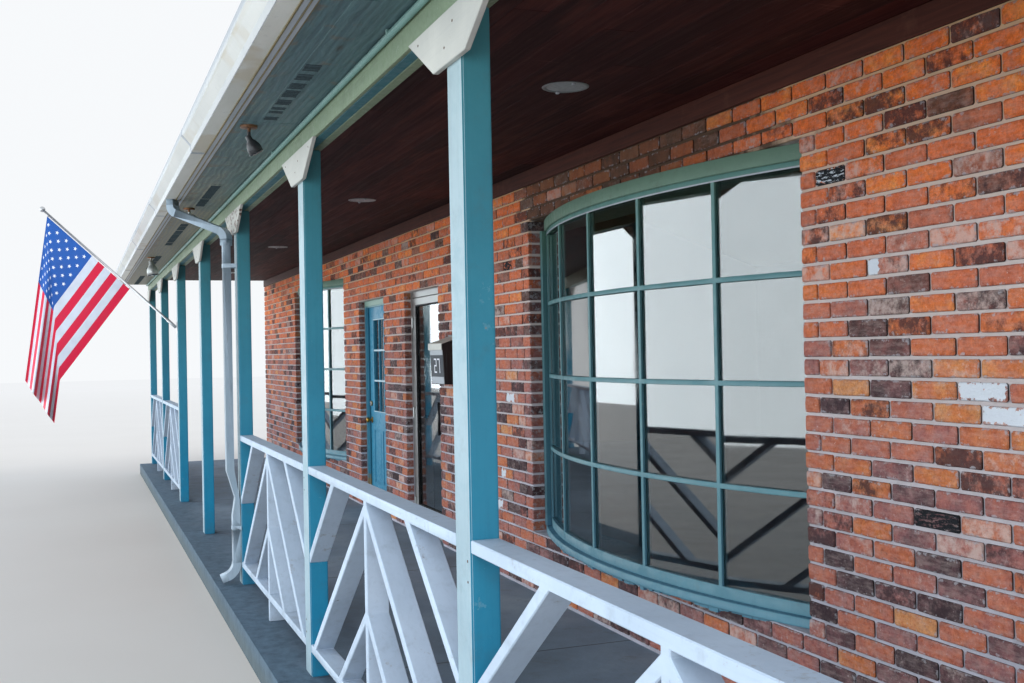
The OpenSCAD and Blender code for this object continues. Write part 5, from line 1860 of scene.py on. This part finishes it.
class SHOP_OT_lamps(bpy.types.Operator):
    """Finishes ceiling lights, flood lamps and conduit."""

    bl_idname = "shop.lamps"
    bl_label = "Lights and conduit"

    def execute(self, context):
        smooth_copy("ceiling_lights", "lamp_metal", "lamp_metal", 35)
        smooth_copy("conduit", "conduit_paint", "conduit_paint", 40)
        lenses, clips = Solids(), Solids()
        a, b = low("ceiling_lights"), high("ceiling_lights")
        y = (a.y + b.y) / 2
        for k in range(-2, 2):
            x = LIGHT_X + LIGHT_STEP * k
            disc = Matrix.Translation((x, y, CEILING - 0.0015))
            lenses.lathe(
                [(0, -0.004), (0.03, -0.0036), (0.06, -0.002), (0.0865, 0.0), (0.0865, 0.003), (0, 0.003)],
                disc, 40,
            )
            for way in (-1, 1):
                at = x + way * 0.088
                clips.block(
                    (at - 0.01, y - 0.007, CEILING - 0.012), (at + 0.01, y + 0.007, CEILING - 0.003), 0.002
                )
        eave, under = low("soffits").y, low("soffits").z
        faces, heads = Solids(), Solids()
        for x, behind, scale, rx, ry in FLOODS:
            hung = Matrix.Translation((x, eave + behind, under))
            heads.lathe(
                [(0, -0.014), (0.036, -0.014), (0.041, -0.011), (0.042, -0.001), (0.042, 0.001), (0, 0.001)],
                hung, 32,
            )
            heads.lathe([(0, -0.066), (0.009, -0.066), (0.009, -0.012), (0, -0.012)], hung, 16)
            heads.tube([hung @ Vector(p) for p in ((-0.014, 0, -0.045), (0.014, 0, -0.045))], 0.006, 10)
            turn = Matrix.Translation((x, eave + behind, under - 0.06)) @ spun(ry, "Y") @ spun(rx, "X")
            for group, profile, count, ring in (
                (heads, LAMP_HEAD, 40, False), (faces, LAMP_GLASS, 32, False), (faces, LAMP_RIM, 32, True)
            ):
                group.lathe(
                    [(r * scale / 1000, h * scale / 1000) for r, h in profile], turn, count, ring=ring
                )
        heads.make("flood_lamps", "flood_metal", "lamp_metal", ("flood_lights",), smooth=35)
        faces.make("flood_lenses", "dark_lens", "lamp_metal", smooth=40)
        lenses.make("light_lenses", "lens", "lamp_metal", smooth=30)
        clips.make("light_clips", "gutter_metal", "lamp_metal")
        return {"FINISHED"}


POLE = Vector((POST_X[5], POST, FLOOR + 1.9))
TILT = radians(43.3)
HOIST = (1.746, 0.632)
FLY = ((-1.538, -0.541), (-1.262, -1.0))
CREASE = ((-1.3, 1.181), (-1.2, -0.541))
CREASE_AT = 0.684
HANG = 0.022
CANTON = (0.4, 7 / 13)
STAR_R = (0.0215, 0.0088)


def cloth_point(u, v, fold=0.082):
    """A point of the hanging cloth: u down the hoist, v out along the fly."""
    l = HOIST[0] + (HOIST[1] - HOIST[0]) * u
    a = Vector((-0.014 - l * cos(TILT) - HANG * sin(TILT), l * sin(TILT) - HANG * cos(TILT)))
    b = Vector(FLY[0]).lerp(Vector(FLY[1]), u)
    crease = Vector(CREASE[0]).lerp(Vector(CREASE[1]), u)
    turn = CREASE_AT * u
    if v < turn:
        p = a.lerp(crease, v / turn)
        hang = 0.0
    else:
        hang = (v - turn) / (1 - turn)
        p = crease.lerp(b, hang)
    belly = 0.02 * sin(pi * v) * sin(pi * u)
    wave = 0.03 * v * sin(9 * u) - fold * hang * sin(2 * pi * 2.2 * u + 0.6)
    ripple = 0.01 * v * sin(7 * v + 5 * u)
    return POLE + Vector((wave + ripple, p.x, p.y - belly))


class SHOP_OT_flag(bpy.types.Operator):
    """Hangs the cloth from its staff, with stripes and stars."""

    bl_idname = "shop.flag"
    bl_label = "Flag and staff"

    def execute(self, context):
        smooth_copy("flag_pole", "staff_metal", "staff_metal", 35)
        rows, cols = 72, 104
        points, coords = [], []
        for j in range(rows + 1):
            for i in range(cols + 1):
                u, v = i / cols, j / rows
                points.append(cloth_point(u, v))
                coords.append((v, u))
        wide = cols + 1
        corners = [j * wide + i for j in range(rows) for i in range(cols)]
        faces = [(c, c + 1, c + wide + 1, c + wide) for c in corners]
        mesh = bpy.data.meshes.new("flag_cloth")
        mesh.from_pydata(points, [], faces)
        layer = mesh.uv_layers.new(name="cloth")
        for loop in mesh.loops:
            layer.data[loop.index].uv = coords[loop.vertex_index]
        area = sum(p.area for p in mesh.polygons)
        cloth = put("flag_cloth", mesh)
        solid = cloth.modifiers.new("cloth", "SOLIDIFY")
        solid.thickness, solid.offset = 0.0012, 0
        thick = evaluated(cloth)
        bpy.data.objects.remove(cloth)
        piece = settle(thick, "flag_cloth", "building", "cloth", "flag_cloth", ("flag",), 60)
        stars = Solids()
        for row in range(9):
            for col in range(6 if row % 2 == 0 else 5):
                cv = CANTON[0] * (2 * col + 1 + row % 2) / 12
                cu = CANTON[1] * (row + 1) / 10
                for side in (-1, 1):
                    ring = []
                    for k in range(10):
                        r = STAR_R[k % 2]
                        t = pi * k / 5
                        ring.append((cu - r * cos(t) / 1.114, cv + r * sin(t) / 1.75))
                    centre = cloth_point(cu, cv)
                    lift = (
                        cloth_point(cu + 0.01, cv) - centre
                    ).cross(cloth_point(cu, cv + 0.01) - centre).normalized() * side
                    tops = [cloth_point(u, v) + lift * 0.0013 for u, v in [(cu, cv)] + ring]
                    base = [cloth_point(u, v) + lift * 0.0004 for u, v in ring]
                    faces = [(0, k + 1, (k + 1) % 10 + 1) for k in range(10)]
                    faces += [(k + 1, 11 + k, 11 + (k + 1) % 10, (k + 1) % 10 + 1) for k in range(10)]
                    faces.append(tuple(range(20, 10, -1)))
                    stars.add(tops + base, faces if side < 0 else [f[::-1] for f in faces])
        shown = stars.make("flag_stars", "star_cloth", "flag_cloth")
        work = bmesh.new()
        work.from_mesh(shown.data)
        bmesh.ops.recalc_face_normals(work, faces=work.faces)
        work.to_mesh(shown.data)
        work.free()
        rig.sheet(
            piece, flat=(1.114, 1.75), held="hung", rests_on=["flag_pole_piece"],
            area=min(area, 1.114 * 1.75), with_pieces=[shown],
        )
        return {"FINISHED"}


class SHOP_OT_floors(bpy.types.Operator):
    """Finishes the porch slab and the floor of the room."""

    bl_idname = "shop.floors"
    bl_label = "Floors"

    def execute(self, context):
        dress("concrete", "porch_slab", "floor_slab")
        return {"FINISHED"}


GROUND_R = 90
# Name, direction, share of the key light's strength, spread in degrees and colour
SUNS = (
    ("key", (0.74, 0.66, -0.2), 0.5, 14, (1.0, 0.95, 0.88)),
    ("side", (-0.84, 0.3, -0.42), 0.8, 40, (0.95, 0.98, 1.0)),
    ("rear", (-0.25, -0.8, -0.5), 0.6, 30, (1.0, 0.98, 0.95)),
)


class SHOP_OT_stage(bpy.types.Operator):
    """Sets the pale floor, soft lights, surroundings and camera."""

    bl_idname = "shop.stage"
    bl_label = "Stage, light and camera"

    def execute(self, context):
        scene = context.scene
        stage = scene.shop_stage
        scene.view_settings.view_transform = "Standard"
        mesh = bpy.data.meshes.new("ground")
        ring = [(GROUND_R * cos(pi * k / 24), GROUND_R * sin(pi * k / 24), 0) for k in range(48)]
        mesh.from_pydata(ring, [], [tuple(range(48))])
        mesh.materials.append(finish("pale_floor"))
        ground = put("ground", mesh)
        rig.stage(ground)
        world = bpy.data.worlds.new("surroundings")
        scene.world = world
        world.use_nodes = True
        sky = Wiring(world.node_tree)
        light = sky.tree.nodes["Background"]
        sky.set(light.inputs[0], (0.74, 0.9, 1.1))
        sky.set(light.inputs[1], stage.sky)
        shown = sky.out(0, "ShaderNodeBackground", Color=(0.93, 0.95, 0.97))
        blend = sky.out(0, "ShaderNodeMixShader", i0=sky.seen(), i1=light.outputs[0], i2=shown)
        sky.set(sky.tree.nodes["World Output"].inputs[0], blend)
        for name, way, power, spread, tint in SUNS:
            lamp = bpy.data.lights.new(name, "SUN")
            lamp.angle, lamp.energy, lamp.color = radians(spread), stage.sun * power, tint
            holder = put(name, lamp)
            holder.rotation_euler = Vector(way).to_track_quat("-Z", "Y").to_euler()
            holder.visible_glossy = holder.visible_transmission = False
        lamp = bpy.data.lights.new("front", "AREA")
        lamp.shape, lamp.size, lamp.size_y = ("RECTANGLE", 74, 6.0)
        lamp.energy, lamp.color = (stage.front, (0.88, 0.98, 1.04))
        holder = put("front", lamp)
        holder.location = -13, -17.5, 3.05
        holder.rotation_euler = radians(90), 0, 0
        holder.visible_camera = False
        unlit = bpy.data.collections.new("outside_front_light")
        unlit.objects.link(ground)
        unlit.collection_objects[0].light_linking.link_state = "EXCLUDE"
        holder.light_linking.receiver_collection = unlit
        data = bpy.data.cameras.new("camera")
        data.sensor_width, data.lens = 36, stage.lens
        data.clip_start, data.clip_end = (0.05, 300)
        camera = put("camera", data)
        y, p, r = stage.yaw, stage.tilt, stage.roll
        ahead = Vector((-cos(y) * cos(p), sin(y) * cos(p), sin(p)))
        right = Vector((sin(y), cos(y), 0))
        up = right.cross(ahead)
        right, up = right * cos(r) + up * sin(r), up * cos(r) - right * sin(r)
        camera.matrix_world = Matrix.Translation(stage.eye) @ Matrix((
            right, up, -ahead
        )).transposed().to_4x4()
        scene.camera = camera
        return {"FINISHED"}


class SHOP_PT_panel(bpy.types.Panel):
    """Lists the settings and the steps of the building."""

    bl_label = "Brick shop"
    bl_idname = "SHOP_PT_panel"
    bl_space_type = "VIEW_3D"
    bl_region_type = "UI"
    bl_category = "Shop"

    def draw(self, context):
        for group in ("shop_sizes", "shop_colours", "shop_stage"):
            settings = getattr(context.scene, group)
            box = self.layout.box()
            for name in settings.__annotations__:
                box.prop(settings, name)
        for step in STEPS:
            self.layout.operator(step.bl_idname)


STEPS = (
    SHOP_OT_stage, SHOP_OT_floors, SHOP_OT_front_bricks, SHOP_OT_other_bricks, SHOP_OT_roof, SHOP_OT_ceiling,
    SHOP_OT_soffit, SHOP_OT_porch_timber, SHOP_OT_gutters, SHOP_OT_windows, SHOP_OT_doors,
    SHOP_OT_letter_box, SHOP_OT_lamps, SHOP_OT_flag,
)
GROUPS = {"shop_sizes": ShopSizes, "shop_colours": ShopColours, "shop_stage": ShopStage}


def register():
    for kind in (*GROUPS.values(), *STEPS, SHOP_PT_panel):
        bpy.utils.register_class(kind)
    for name, kind in GROUPS.items():
        setattr(bpy.types.Scene, name, bpy.props.PointerProperty(type=kind))


def unregister():
    for name in GROUPS:
        delattr(bpy.types.Scene, name)
    for kind in (SHOP_PT_panel, *STEPS[::-1], *GROUPS.values()):
        bpy.utils.unregister_class(kind)


def main():
    """Registers the steps, runs them in order and writes both boxes."""
    register()
    for step in STEPS:
        group, name = step.bl_idname.split(".")
        getattr(getattr(bpy.ops, group), name)()
    boxes = {"cad": [list(c) for c in CAD_BOX], "visual": [list(c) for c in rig.bounds()]}
    with open("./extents.json", "w") as out:
        json.dump(boxes, out)


if __name__ == "__main__":
    main()
